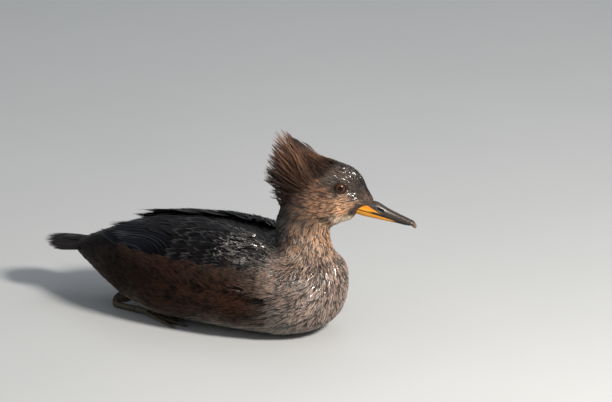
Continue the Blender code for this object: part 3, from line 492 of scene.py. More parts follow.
def cloak_lift(points):
    """How far a point stands out from the cloak's face, in millimetres, as seen along its own spoke."""
    x, y, z = points[..., 0], points[..., 1], points[..., 2]
    middle = smooth(CLOAK, x, 3)
    half, top = smooth(CLOAK, x, 1), smooth(CLOAK, x, 2)
    aside, above = abs(y / half), np.maximum(z - middle, 0) / (top - middle)
    share = (aside ** TOP_FULL + above ** TOP_FULL) ** (1 / TOP_FULL)
    in_wing = (x > CLOAK[0][0]) & (x < CLOAK[-1][0]) & (z > middle)
    return np.where(in_wing, (share - 1) * half, NOT_ON_WING)


skin = sink_skin(make_skin())
print("skin:", len(skin.data.vertices), "points")

# %% [markdown]
# Plumage has a lie: from the bill feathers run back over the crown and cheeks, down the neck, and then aft
# along the body. A few named arrows give that lie, and every feather blends the arrows near it, weighted by
# distance, and lays itself flat on the skin. The colours are given the same way, by body part: each part
# has a ground colour and the darker or paler colour of its streaks, and neighbours melt into each other.

# %% The lie of the feathers and the colours of the body's parts
# Arrows on the head: along, height, and their direction (along, sideways, up). They hold for both sides.
HEAD_LIE = (
    (22, 112, (-1, 0.25, 0.45)), (16, 127, (-0.62, 0.1, 0.8)), (8, 137, (-0.92, 0, 0.42)),
    (-4, 142, (-1, 0, 0.22)), (-16, 143, (-0.94, 0, 0.42)), (-30, 140, (-0.84, 0, 0.56)),
    (12, 106, (-1, 0.15, -0.05)), (12, 99, (-1, 0.1, -0.22)), (0, 108, (-1, 0, -0.1)),
    (0, 125, (-1, 0, 0.12)), (-14, 122, (-1, 0, 0.16)), (-28, 124, (-1, 0, 0.3)),
    (-12, 106, (-1, 0, -0.22)), (-28, 108, (-1, 0, -0.1)), (-40, 112, (-1, 0, 0.05)),
    (-2, 94, (-0.8, 0, -0.62)), (-20, 94, (-0.72, 0, -0.75)), (-38, 98, (-0.66, 0, -0.7)),
)
# Arrows on the body: x, distance to the side, height, and their direction (x, outwards, up)
BODY_LIE = (
    (104, 0, 80, (-0.18, 0, -1)), (84, 18, 78, (-0.22, 0.05, -1)), (62, 0, 84, (0.02, 0, -1)),
    (110, 0, 64, (0.02, 0.1, -1)), (95, 26, 60, (-0.35, 0.3, -0.9)), (72, 34, 60, (-0.85, 0.25, -0.55)),
    (52, 0, 76, (-0.95, 0, -0.12)), (115, 0, 45, (-0.3, 0.3, -0.9)), (104, 30, 38, (-0.85, 0.3, -0.45)),
    (104, 0, 14, (-1, 0, -0.35)), (84, 42, 36, (-1, 0.1, -0.2)), (84, 0, 2, (-1, 0, -0.05)),
    (60, 50, 36, (-1, 0.02, 0)), (60, 0, 0, (-1, 0, 0)), (30, 57, 36, (-1, 0, 0.08)),
    (30, 0, 0, (-1, 0, 0)), (30, 0, 78, (-1, 0, 0)), (0, 58, 36, (-1, 0, 0.08)),
    (0, 0, 0, (-1, 0, 0)), (0, 0, 80, (-1, 0, 0)),
    (-40, 52, 36, (-1, 0, 0.1)), (-40, 0, 0, (-1, 0, 0.05)), (-40, 0, 76, (-1, 0, 0)),
    (-80, 36, 40, (-1, -0.15, 0.1)), (-80, 0, 16, (-1, 0, 0.18)), (-80, 0, 65, (-1, 0, -0.15)),
    (-110, 18, 42, (-1, -0.15, 0)), (-110, 0, 30, (-1, 0, 0.22)), (-110, 0, 52, (-1, 0, -0.22)),
)
# Colours of the head's parts: along, distance to the side, height, reach, ground, streaks
HEAD_TONES = {
    "forehead": (16, 0, 127, 9, (0.034, 0.026, 0.024), (0.012, 0.01, 0.01)),
    "crown": (-2, 0, 143, 10, (0.036, 0.026, 0.023), (0.013, 0.011, 0.01)),
    "crest": (-24, 0, 143, 13, (0.13, 0.064, 0.04), (0.04, 0.021, 0.015)),
    "rear crest": (-44, 0, 122, 12, (0.075, 0.043, 0.03), (0.024, 0.016, 0.013)),
    "lores": (13, 10, 119, 6, (0.06, 0.041, 0.033), (0.018, 0.013, 0.012)),
    "above the eye": (-5, 12, 132, 7, (0.075, 0.046, 0.033), (0.022, 0.015, 0.013)),
    "eye's rim": (0, 15, 123, 6.2, (0.036, 0.023, 0.018), (0.012, 0.009, 0.008)),
    "under the eye": (6, 14, 112, 5, (0.56, 0.34, 0.215), (0.1, 0.058, 0.04)),
    "behind the eye": (-13, 15, 122, 8, (0.23, 0.115, 0.066), (0.055, 0.03, 0.021)),
    "temple": (-26, 13, 124, 9, (0.21, 0.1, 0.058), (0.05, 0.027, 0.019)),
    "cheek": (5, 13, 107, 8, (0.78, 0.43, 0.245), (0.105, 0.054, 0.034)),
    "ear": (-13, 16, 110, 10, (0.42, 0.225, 0.132), (0.056, 0.031, 0.021)),
    "gape": (12.2, 9.2, 102.8, 5.6, (0.014, 0.012, 0.012), (0.008, 0.007, 0.008)),
    "chin": (7, 7, 97.5, 5, (0.96, 0.82, 0.64), (0.64, 0.5, 0.36)),
    "jaw": (-1, 9, 97, 5, (0.94, 0.79, 0.6), (0.56, 0.42, 0.3)),
    "throat": (-6, 9, 93, 7, (0.52, 0.35, 0.22), (0.1, 0.062, 0.042)),
    "hind cheek": (-24, 13, 98, 9, (0.15, 0.088, 0.058), (0.034, 0.022, 0.017)),
    # Painted shade: the nape is darkened to near black for the shade on the side turned from the light
    "nape": (-42, 6, 98, 10, (0.018, 0.014, 0.013), (0.008, 0.007, 0.007)),
}
# Colours of the body's parts: x, distance to the side, height, reach, ground, streaks
BODY_TONES = {
    "front of the neck": (103, 0, 80, 13, (0.6, 0.345, 0.205), (0.046, 0.026, 0.017)),
    "side of the neck": (89, 18, 80, 10, (0.38, 0.225, 0.142), (0.02, 0.013, 0.01)),
    # Painted shade: the back of the neck is darkened to near black for the shade on the side turned from the
    # light
    "back of the neck": (66, 8, 80, 16, (0.014, 0.011, 0.0105), (0.006, 0.005, 0.005)),
    "upper breast": (108, 14, 56, 14, (0.45, 0.32, 0.258), (0.026, 0.017, 0.013)),
    "lower breast": (110, 20, 34, 12, (0.41, 0.3, 0.255), (0.032, 0.021, 0.017)),
    "side of the breast": (88, 34, 54, 11, (0.28, 0.192, 0.156), (0.014, 0.01, 0.008)),
    "shoulder": (60, 34, 66, 14, (0.055, 0.044, 0.04), (0.007, 0.006, 0.006)),
    "saddle": (20, 0, 80, 30, (0.012, 0.0105, 0.0115), (0.005, 0.0045, 0.005)),
    "hind saddle": (-38, 0, 77, 28, (0.012, 0.0105, 0.0115), (0.005, 0.0045, 0.005)),
    "rump": (-90, 8, 60, 26, (0.011, 0.0095, 0.0095), (0.005, 0.0045, 0.005)),
    "fore flank": (54, 52, 34, 20, (0.05, 0.021, 0.012), (0.007, 0.0045, 0.0038)),
    "middle flank": (28, 56, 36, 17, (0.046, 0.02, 0.0122), (0.0065, 0.0042, 0.0036)),
    "flank": (0, 57, 34, 26, (0.036, 0.0155, 0.0094), (0.0045, 0.0032, 0.003)),
    "rear flank": (-28, 53, 37, 17, (0.026, 0.0118, 0.0078), (0.0042, 0.0032, 0.0031)),
    "hind flank": (-55, 46, 36, 22, (0.02, 0.01, 0.007), (0.004, 0.0032, 0.0032)),
    "belly": (40, 10, 0, 26, (0.56, 0.52, 0.46), (0.3, 0.26, 0.22)),
    "hind belly": (-45, 8, 4, 24, (0.48, 0.44, 0.38), (0.22, 0.185, 0.15)),
    "under tail": (-104, 8, 30, 14, (0.06, 0.048, 0.041), (0.024, 0.02, 0.018)),
}
HEAD_LIE_REACH, BODY_LIE_REACH = 10.0, 20.0
LIE_POWER, TONE_POWER = 3.0, 4.0  # how sharply an arrow or a colour gives way to its neighbours
HEAD_TOP = 136  # above this height an arrow stands on the head's middle line


def blend_near(rows, points, power):
    """Blends the values of rows of place, reach and value, each by its nearness in its own reach."""
    total, weight = 0.0, 0.0
    for place, reach, value in rows:
        share = 1.0 / ((np.linalg.norm(points - place, axis=1) / reach) ** power + 0.02)
        total = total + share[:, None] * np.asarray(value, float)
        weight = weight + share
    return total / np.maximum(weight, 1e-9)[:, None]


def folded(points):
    """Head coordinates and body coordinates, each with both sides folded into one."""
    a, sideways, height = head_coordinates(points)
    return stacked(a, abs(sideways), height), points * np.array((1, 0, 1)) + abs(points) * np.array((0, 1, 0))


def lie_at(points, normals):
    """The direction in which feathers lie at each point: a unit vector along the skin."""
    on, off = folded(points)
    c, s = math.cos(HEAD_YAW), math.sin(HEAD_YAW)
    rows = [((a, smooth(HEAD, a, 1) * 0.8 * (h < HEAD_TOP), h), HEAD_LIE_REACH, way)
            for a, h, way in HEAD_LIE]
    head = blend_near(rows, on, LIE_POWER)
    head[:, 1] *= np.sign(head_coordinates(points)[1])
    head = stacked(head[:, 0] * c - head[:, 1] * s, head[:, 0] * s + head[:, 1] * c, head[:, 2])
    body = blend_near([(row[:3], BODY_LIE_REACH, row[3]) for row in BODY_LIE], off, LIE_POWER)
    body[:, 1] *= np.sign(points[:, 1])
    share = on_head(points)[:, None]
    way = head * share + body * (1 - share)
    way = way - (way * normals).sum(1)[:, None] * normals
    return unit(way)


def tones_at(points):
    """The ground colour and the streaks' colour of the plumage at each point."""
    on, off = folded(points)
    share = on_head(points)[:, None]
    tones = []
    for k in (4, 5):
        head, body = (blend_near([(t[:3], t[3], t[k]) for t in table.values()], places, TONE_POWER)
                      for table, places in ((HEAD_TONES, on), (BODY_TONES, off)))
        tones.append(head * share + body * (1 - share))
    return tones


skin_points = points_of(skin.data) / MM
ground, streaks = tones_at(skin_points)
mark(skin, "ground", ground, COLOUR)
mark(skin, "streak", streaks, COLOUR)
mark(skin, "out", normals_of(skin.data), VECTOR)
print("parts with a colour of their own:", len(HEAD_TONES) + len(BODY_TONES))

# %% [markdown]
# A finish is a Principled shader with a few nodes in front of it. This small helper adds nodes one by one.
# Wet feathers are dark, smooth and slightly glossy, and each one differs a little from the next, so the
# plumage finish reads five attributes of every feather: its ground colour, its streak colour, how far along
# and how far across it a point lies, and a number of its own. Barbs are fine slanting lines, drawn by a
# wave along the feather's length and breadth, and they also roughen the bump.

# %% Finishes
class Nodes:
    """A node tree under construction, and its arithmetic."""

    def take(self, output, kind, inputs=(), **settings):
        """An output of a new node. An input takes a value, or the socket that feeds it."""
        made = self.tree.nodes.new(kind)
        for key, value in settings.items():
            setattr(made, key, value)
        for key, value in dict(inputs).items():
            if isinstance(value, bpy.types.NodeSocket):
                self.tree.links.new(value, made.inputs[key])
            else:
                made.inputs[key].default_value = value
        return made.outputs[output]

    def math(self, operation, a, b=0.0):
        return self.take(0, "ShaderNodeMath", {0: a, 1: b}, operation=operation)

    def times(self, a, b):
        return self.math("MULTIPLY", a, b)

    def plus(self, a, b):
        return self.math("ADD", a, b)

    def minus(self, a, b):
        return self.math("SUBTRACT", a, b)


class Finish(Nodes):
    """A material under construction."""

    def __init__(self, name, **numbers):
        self.material = bpy.data.materials.new(name)
        self.material.use_nodes = True
        self.tree = self.material.node_tree
        self.shader = self.tree.nodes["Principled BSDF"]
        for label, value in numbers.items():
            self.shader.inputs[label.replace("_", " ")].default_value = value

    def mix(self, factor, a, b):
        return self.take(2, "ShaderNodeMix", {"Factor": factor, 6: a, 7: b}, data_type="RGBA")

    def value(self, name):
        return self.take("Fac", "ShaderNodeAttribute", attribute_name=name)

    def colour(self, name):
        return self.take("Color", "ShaderNodeAttribute", attribute_name=name)

    def here(self):
        return self.take("Object", "ShaderNodeTexCoord")

    def noise(self, scale, detail=3.0, rough=0.5, vector=None):
        given = {"Vector": vector or self.here(), "Scale": scale, "Detail": detail, "Roughness": rough}
        return self.take("Fac", "ShaderNodeTexNoise", given)

    def span(self, value, low, high, to_low=0.0, to_high=1.0):
        given = {"Value": value, "From Min": low, "From Max": high, "To Min": to_low, "To Max": to_high}
        return self.take("Result", "ShaderNodeMapRange", given, interpolation_type="SMOOTHSTEP")

    def feed(self, label, socket):
        self.tree.links.new(socket, self.shader.inputs[label])

    def bump(self, height, strength, distance):
        given = {"Height": height, "Strength": strength, "Distance": distance}
        self.feed("Normal", self.take("Normal", "ShaderNodeBump", given))


def plumage(name, roughness, streaky, edge, edge_colour, barbs, gloss=0.3):
    """Feathers: ground and streak colours by attribute, a dark shaft, a pale edge (a worn fringe in some
    finishes, a painted highlight in others), painted shade towards the root, and fine barbs.
    """
    made = Finish(name, Specular_IOR_Level=gloss)
    along, across, shade = made.value("along"), made.value("across"), made.value("shade")
    out = made.math("ABSOLUTE", across)
    # Streaks: whole tufts by their own number, and patches by the mottle
    mottle = made.minus(made.noise(110.0, 5.0, 0.65), 0.5)
    pick = made.plus(shade, made.times(mottle, 1.1))
    dark = made.span(pick, 1.0 - streaky, 1.3 - streaky)
    colour = made.mix(dark, made.colour("ground"), made.colour("streak"))
    # The pale edge and tip of each vane: a worn fringe in most finishes, a painted highlight where the edge
    # colour is near white
    rim = made.span(made.math("MAXIMUM", out, along), 0.72, 1.0)
    wear_and_highlight = made.span(shade, 0.35, 0.95, 0.10 * edge, edge)
    colour = made.mix(made.times(rim, wear_and_highlight), colour, edge_colour)
    # The shaft and the barbs, and the shade in which the feather's root lies
    shaft = made.span(out, 0.16, 0.02)
    colour = made.mix(made.times(shaft, 0.35), colour, made.colour("streak"))
    across_barbs = made.times(out, barbs * 0.16)
    slant = made.minus(made.times(along, barbs), across_barbs)
    ripple = made.math("SINE", made.times(slant, math.tau))
    root_shade = made.span(along, 0.0, 0.8, 0.30, 1.08)
    fine = made.times(made.span(ripple, -1.0, 1.0, 0.86, 1.08), root_shade)
    colour = made.take("Vector", "ShaderNodeVectorMath", {0: colour, "Scale": fine}, operation="SCALE")
    made.feed("Base Color", colour)
    # Here and there the barbs cling together and shine
    wet = made.span(made.noise(75.0, 3.0, 0.6), 0.52, 0.66)
    made.feed("Roughness", made.span(wet, 0.0, 1.0, roughness, roughness * 0.5))
    made.bump(ripple, 0.12, 0.00008)
    return made.material


def underdown(name):
    """The skin with its wet underdown: the same colours as the feathers over it, in fine streaks, darkened as
    painted shade under the coat.
    """
    made = Finish(name, Roughness=0.5, Specular_IOR_Level=0.4)
    streak = made.span(made.noise(700.0, 4.0, 0.65), 0.35, 0.65)
    colour = made.mix(streak, made.colour("ground"), made.colour("streak"))
    # Painted shade: the skin is pulled three quarters of the way to the darker streak colour, for the shade
    # under the coat
    colour = made.mix(0.75, colour, made.colour("streak"))
    made.feed("Base Color", colour)
    made.bump(made.noise(1400.0, 3.0, 0.6), 0.5, 0.0003)
    return made.material


hand_in(skin, ("torso", "neck", "head"), underdown("wet_underdown_painted_shade"))

# %% [markdown]
# A feather is a flat card cut into pointed lobes of uneven width, as wet barbs cling together. A narrow
# ridged card is a strand of the face and neck, one of three lobes is a lock of the belly, and one of many
# short lobes is a firm covert. Every card is one unit long, and carries how far along and across each of
# its points lies. No two real feathers split alike, so each kind has a few cards to pick from.

# %% Feather cards
def feather_card(name, lobes, rows, split, round_tip, root, widest, ragged, draw):
    """A unit feather: uneven lobes side by side, joined up to the share called split, and a rounded tip."""
    points, faces, along, across = [], [], [], []
    shares = np.concatenate([[0.0], np.cumsum(draw.uniform(1 - ragged, 1 + ragged, lobes))])
    edges = 2 * shares / shares[-1] - 1
    for low, high in zip(edges, edges[1:]):
        middle = (low + high) / 2 + draw.normal(0, 0.12) * (high - low)
        reach = (1 - round_tip * abs(middle) ** 2.2) * draw.uniform(1 - 0.12 * ragged, 1.0)
        parted = split * draw.uniform(1 - 0.35 * ragged, 1.0)
        first = len(points)
        for k in range(rows + 1):
            t = k / rows
            past = max(t - widest, 0.0) / (1 - widest)
            half = root + (1 - root) * min(t / widest, 1.0) - 0.25 * past ** 2
            shut = (max(t - parted, 0.0) / (1 - parted)) ** 0.8
            for edge in ((low, high) if k < rows else (middle,)):
                place = edge + (middle - edge) * shut
                points.append((place * half / 2, t * reach, 0.0))
                along.append(t)
                across.append(place)
        for k in range(rows - 1):
            a = first + 2 * k
            faces.append((a, a + 1, a + 3, a + 2))
        faces.append((first + 2 * rows - 2, first + 2 * rows - 1, first + 2 * rows))
    card = mesh_object(name, np.array(points) / MM, faces)
    mark(card, "along", along)
    mark(card, "across", across)
    return card


def strand_card(name, rows, draw):
    """A unit strand of clinging barbs: one pointed lobe with a ridge, so that it can arch like a roof."""
    points, faces, along, across = [], [], [], []
    bend = draw.uniform(-0.25, 0.25)
    for k in range(rows):
        t = k / rows
        half = 0.75 + 0.25 * min(t / 0.3, 1.0) - 0.75 * max(t - 0.3, 0.0) ** 1.4
        for edge in (-1.0, 0.0, 1.0):
            points.append((edge * half / 2 + bend * t * t, t, 0.0))
            along.append(t)
            across.append(edge)
    points.append((bend, 1.0, 0.0))
    along.append(1.0)
    across.append(0.0)
    for k in range(rows - 1):
        for a in (3 * k, 3 * k + 1):
            faces.append((a, a + 1, a + 4, a + 3))
    faces += [(3 * rows - 3, 3 * rows - 2, 3 * rows), (3 * rows - 2, 3 * rows - 1, 3 * rows)]
    card = mesh_object(name, np.array(points) / MM, faces)
    mark(card, "along", along)
    mark(card, "across", across)
    return card


def card_set(kind, makers):
    """Several cards of one kind in a collection of their own, from which the laying tree picks."""
    held = bpy.data.collections.new("cards_" + kind)
    for card in makers:
        bpy.context.scene.collection.objects.unlink(card)
        held.objects.link(card)
    return held


# Kind: how many different cards, lobes, rows, split, rounding of the tip, width at the root, widest place,
# raggedness
FEATHER_KINDS = {
    "lock": (4, 3, 5, 0.40, 0.30, 0.50, 0.40, 0.6),
    "contour": (5, 7, 6, 0.66, 0.42, 0.50, 0.45, 0.7),
    "covert": (5, 7, 7, 0.93, 0.55, 0.55, 0.45, 0.5),
    "scapular": (4, 7, 9, 0.93, 0.46, 0.50, 0.40, 0.5),
    "flight": (4, 7, 14, 0.97, 0.26, 0.55, 0.25, 0.5),
}
card_draw = np.random.default_rng(3)
CARDS = {kind: card_set(kind, [feather_card(f"{kind}_card_{n + 1}", *shape, card_draw) for n in range(count)])
         for kind, (count, *shape) in FEATHER_KINDS.items()}
CARDS["hair"] = card_set("hair", [strand_card(f"hair_card_{n + 1}", 4, card_draw) for n in range(5)])

# %% [markdown]
# Two node trees do the repeating. The first sows roots: it strews points evenly over the part of the skin
# that an attribute marks. The second lays feathers: it puts a card on each root, turned and sized by the
# root's own attributes, makes the instances real, and bows the long ones. Then it presses every point of
# every feather onto the skin, raised from the root to the tip and arched across, so that feathers lie along
# the body and overlap like tiles.

# %% Node trees that sow and lay feathers
MOST_ROOTS = 4.0e6  # on a square metre, before roots nearer to each other than the spacing are dropped


class Tree(Nodes):
    """A geometry node tree under construction."""

    def __init__(self, name, inputs):
        self.tree = bpy.data.node_groups.new(name, "GeometryNodeTree")
        self.tree.is_modifier = True
        self.tree.interface.new_socket("Geometry", in_out="INPUT", socket_type="NodeSocketGeometry")
        for label, kind, value in inputs:
            made = self.tree.interface.new_socket(label, in_out="INPUT", socket_type="NodeSocket" + kind)
            if value is not None:
                made.default_value = value
        self.tree.interface.new_socket("Geometry", in_out="OUTPUT", socket_type="NodeSocketGeometry")
        self.given = self.tree.nodes.new("NodeGroupInput").outputs
        self.result = self.tree.nodes.new("NodeGroupOutput").inputs[0]

    def named(self, name, kind="FLOAT"):
        return self.take("Attribute", "GeometryNodeInputNamedAttribute", {"Name": name}, data_type=kind)

    def vectors(self, operation, inputs):
        return self.take("Vector", "ShaderNodeVectorMath", inputs, operation=operation)

    def finish(self, geometry, painted=True):
        """Ends the tree, after the given finish is set where the tree paints what it makes."""
        if painted:
            geometry = self.take("Geometry", "GeometryNodeSetMaterial",
                                 {"Geometry": geometry, "Material": self.given["Finish"]})
        self.tree.links.new(geometry, self.result)
        return self.tree


def grown_by(tree, obj, values, name):
    """The plain mesh that a tree makes from an object, as a new object. It sets inputs by identifier."""
    modifier = obj.modifiers.new(tree.name, "NODES")
    modifier.node_group = tree
    sockets = {s.name: s.identifier for s in tree.interface.items_tree if s.in_out == "INPUT"}
    for label, value in values.items():
        modifier[sockets[label]] = value
    graph = bpy.context.evaluated_depsgraph_get()
    mesh = bpy.data.meshes.new_from_object(obj.evaluated_get(graph))
    obj.modifiers.remove(modifier)
    return linked(bpy.data.objects.new(name, mesh))


def sowing_tree():
    tree = Tree("Sow roots", (("Spacing", "Float", 0.001), ("Seed", "Int", 1)))
    strewn = tree.take("Points", "GeometryNodeDistributePointsOnFaces", {
        "Mesh": tree.given["Geometry"], "Distance Min": tree.given["Spacing"], "Density Max": MOST_ROOTS,
        "Density Factor": tree.named("sown"), "Seed": tree.given["Seed"],
    }, distribute_method="POISSON")
    return tree.finish(tree.take("Mesh", "GeometryNodePointsToVertices", {"Points": strewn}), painted=False)


def laying_tree():
    tree = Tree("Lay feathers", (
        ("Feathers", "Collection", None), ("Surface", "Object", None), ("Arch", "Float", 0.0),
        ("Rise power", "Float", 0.8), ("Finish", "Material", None)))
    cards = tree.take("Instances", "GeometryNodeCollectionInfo", {
        "Collection": tree.given["Feathers"], "Separate Children": True, "Reset Children": True})
    surface = tree.take("Geometry", "GeometryNodeObjectInfo", {"Object": tree.given["Surface"]})
    turn = tree.take(0, "FunctionNodeEulerToRotation", {0: tree.named("turn", VECTOR)})
    placed = tree.take("Instances", "GeometryNodeInstanceOnPoints", {
        "Points": tree.given["Geometry"], "Instance": cards, "Pick Instance": True, "Rotation": turn,
        "Instance Index": tree.named("pick", "INT"), "Scale": tree.named("size", VECTOR)})
    real = tree.take("Geometry", "GeometryNodeRealizeInstances", {"Geometry": placed})
    along, across = tree.named("along"), tree.named("across")
    # A bowed feather leaves the straight line between its root and its tip
    bowed = tree.times(tree.times(along, 4.0), tree.minus(1.0, along))
    aside = tree.vectors("SCALE", {0: tree.named("bow", VECTOR), "Scale": bowed})
    place = tree.vectors("ADD", {0: tree.take(0, "GeometryNodeInputPosition"), 1: aside})
    near = tree.take("Position", "GeometryNodeProximity", {0: surface, "Sample Position": place},
                     target_element="FACES")
    out = tree.take("Value", "GeometryNodeSampleNearestSurface", {
        "Mesh": surface, "Value": tree.named("out", VECTOR), "Sample Position": place,
    }, data_type=VECTOR)
    # Its height over the surface: rising to the tip, lower along the edges, and leaning to one side
    rise = tree.math("POWER", along, tree.given["Rise power"])
    lift = tree.minus(tree.named("tip_height"), tree.named("root_height"))
    height = tree.plus(tree.named("root_height"), tree.times(lift, rise))
    hollow = tree.times(tree.times(across, across), tree.given["Arch"])
    height = tree.minus(height, tree.times(hollow, along))
    height = tree.plus(height, tree.times(tree.named("roll"), across))
    spot = tree.vectors("ADD", {0: near, 1: tree.vectors("SCALE", {0: out, "Scale": height})})
    return tree.finish(tree.take("Geometry", "GeometryNodeSetPosition", {"Geometry": real, "Position": spot}))


SOWING, LAYING = sowing_tree(), laying_tree()


def turns_of(across, along, out):
    """Euler angles that turn a card's own axes to these three, for many cards at once."""
    pitch = np.arcsin(np.clip(-across[:, 2], -1, 1))
    return np.stack([np.arctan2(along[:, 2], out[:, 2]), pitch, np.arctan2(across[:, 1], across[:, 0])], 1)


# The unwrap's islands: corner and size
BODY_ISLAND, NECK_ISLAND = ((0.01, 0.01), (0.98, 0.53)), ((0.52, 0.56), (0.47, 0.43))
HEAD_ISLAND = ((0.01, 0.56), (0.48, 0.43))
PATCH = 0.003  # how wide a feather's own patch of the map is
BOX_MARGIN, BOX_GIVE = 0.06, 1.0  # what stays free inside the solids' box, and how softly it holds


def island(place, u, v):
    return np.array(place[0]) + np.array(place[1]) * np.stack([u, v], 1)


def share_between(values, low, high):
    return np.clip((values - low) / (high - low), 0, 1)


def unwrapped(points):
    """Where a root lies on an unwrap of the bird's own shape: round the body, the neck and the head."""
    x, y, z = points.T
    a, sideways, height = head_coordinates(points)
    round_body, round_neck, round_head = (np.arctan2(aside, ahead) / (2 * np.pi) + 0.5 for aside, ahead in (
        (y, z - 40.0), (y, x - 83.0), (sideways, height - 115.0)))
    body = island(BODY_ISLAND, share_between(x, -165, 120), round_body)
    neck = island(NECK_ISLAND, round_neck, share_between(z, 55, 100))
    head = island(HEAD_ISLAND, share_between(a, -70, 30), round_head)
    on = (on_head(points) > 0.5)[:, None]
    return np.where(on, head, np.where((z > 62)[:, None], neck, body))


def bake_map(piece):
    """The OFBake map: each feather is a small patch at its root's place on the bird's unwrap."""
    mesh = piece.data
    places = get_attribute(mesh, "root_place", 3)[:, :2]
    local = np.stack([get_attribute(mesh, "across") * 0.5, get_attribute(mesh, "along") - 0.5], 1) * PATCH
    corners = np.empty(len(mesh.loops), np.int32)
    mesh.loops.foreach_get("vertex_index", corners)
    layer = mesh.uv_layers.new(name="OFBake")
    layer.uv.foreach_set("vector", (places + local)[corners].astype(np.float32).ravel())
    mesh.uv_layers.active = layer


def hold_inside(piece):
    """Presses what would stand past the solids' box, or under the floor, softly back inside it."""
    low, high = (np.array(corner, float) / MM for corner in cad_box)
    points = points_of(piece.data) / MM
    for sign, edge in ((1, high - BOX_MARGIN), (-1, low + BOX_MARGIN)):
        past = np.maximum(sign * (points - edge) + BOX_GIVE, 0)
        points = points - sign * (past - BOX_GIVE * (1 - np.exp(-past / BOX_GIVE)))
    piece.data.vertices.foreach_set("co", (points * MM).astype(np.float32).ravel())
    piece.data.update()


def lay(name, roots, ways, outs, length, width, root_height, tip_height, roll, shade, card, finish, slot,
        surface, arch=0.0, rise=0.8, nodes=(), tones=None, bow=None):
    """Lays one feather on each root, along its way.

    All sizes are millimetres, one number or one for each root.
    """
    count = len(roots)
    across = unit(np.cross(ways, outs))
    outs = unit(np.cross(across, ways))
    points = mesh_object(name + "_roots", roots, [])
    full = np.ones(count)
    mark(points, "turn", turns_of(across, ways, outs), VECTOR)
    mark(points, "size", np.stack([width * full, length * full, full], 1) * MM, VECTOR)
    for label, value in (("root_height", root_height), ("tip_height", tip_height), ("roll", roll)):
        mark(points, label, value * full * MM)
    mark(points, "shade", shade * full)
    if bow is not None:
        mark(points, "bow", across * bow * MM, VECTOR)
    picks = np.random.default_rng(count).integers(0, len(CARDS[card].objects), count)
    mark(points, "pick", picks, "INT")
    ground, streaks = tones or tones_at(roots)
    mark(points, "ground", ground, COLOUR)
    mark(points, "streak", streaks, COLOUR)
    places = np.concatenate([unwrapped(roots), np.zeros((count, 1))], 1)
    mark(points, "root_place", places, VECTOR)
    piece = grown_by(LAYING, points, {"Feathers": CARDS[card], "Surface": surface, "Arch": arch * MM,
                                      "Rise power": rise, "Finish": finish}, name)
    bpy.data.objects.remove(points)
    hold_inside(piece)
    bake_map(piece)
    for label in ("turn", "size", "pick", "root_height", "tip_height", "roll", "root_place", "bow"):
        found = piece.data.attributes.get(label)
        if found:
            piece.data.attributes.remove(found)
    return hand_in(piece, nodes)


print("node trees:", SOWING.name, "and", LAYING.name)

# %% [markdown]
# The coat is sown zone by zone, finest on the face and coarsest on the belly. Wet feathers cling together
# in small points, so each feather leans towards the tip of a tuft near it. The tuft's leader keeps its own
# direction. On brow and breast a few soaked tufts lie on top and glint. Where the folded wings cover the
# body, nothing is sown.

# %% The coat zone by zone
def sow(surface, weight, spacing, seed):
    """Roots and normals in millimetres on a surface where weight is above nil."""
    old = surface.data.attributes.get("sown")
    if old:
        surface.data.attributes.remove(old)
    mark(surface, "sown", weight)
    made = grown_by(SOWING, surface, {"Spacing": spacing * MM, "Seed": seed}, "sown_roots")
    roots, outs = points_of(made.data) / MM, unit(get_attribute(made.data, "out", 3).astype(float))
    bpy.data.objects.remove(made)
    return roots, outs


def tufted(roots, ways, length, every, pull):
    """Turns each feather towards the tip of the nearest tuft, whose leaders are every so many roots.

    Also gives each feather the number of its tuft.
    """
    length = np.broadcast_to(length, len(roots))[:, None]
    middles, tips = roots + ways * 0.4 * length, roots + ways * 1.1 * length
    finder = kdtree.KDTree(len(roots[::every]))
    for k, middle in enumerate(middles[::every]):
        finder.insert(middle, k)
    finder.balance()
    nearest = np.array([finder.find(middle)[1] for middle in middles])
    aim = unit(tips[::every][nearest] - roots)
    return unit(ways * (1 - pull) + aim * pull), nearest


def swirl(points, size):
    """A smooth wavering between -1 and 1, with waves of about this many millimetres."""
    x, y, z = (points * (2 * np.pi / size)).T
    waves = np.sin(x + 1.7 * np.sin(0.7 * z)) + np.sin(1.3 * z + 1.9 * np.sin(0.6 * x) + 0.8 * y)
    return (waves + np.sin(0.9 * y - 1.1 * z)) / 3


# Where bare bill starts along the head, how far feathers keep off the eye, and half the wings' length
BILL_BARE_FROM, EYE_CLEAR, WING_COVERS = 17.2, 5.2, 66


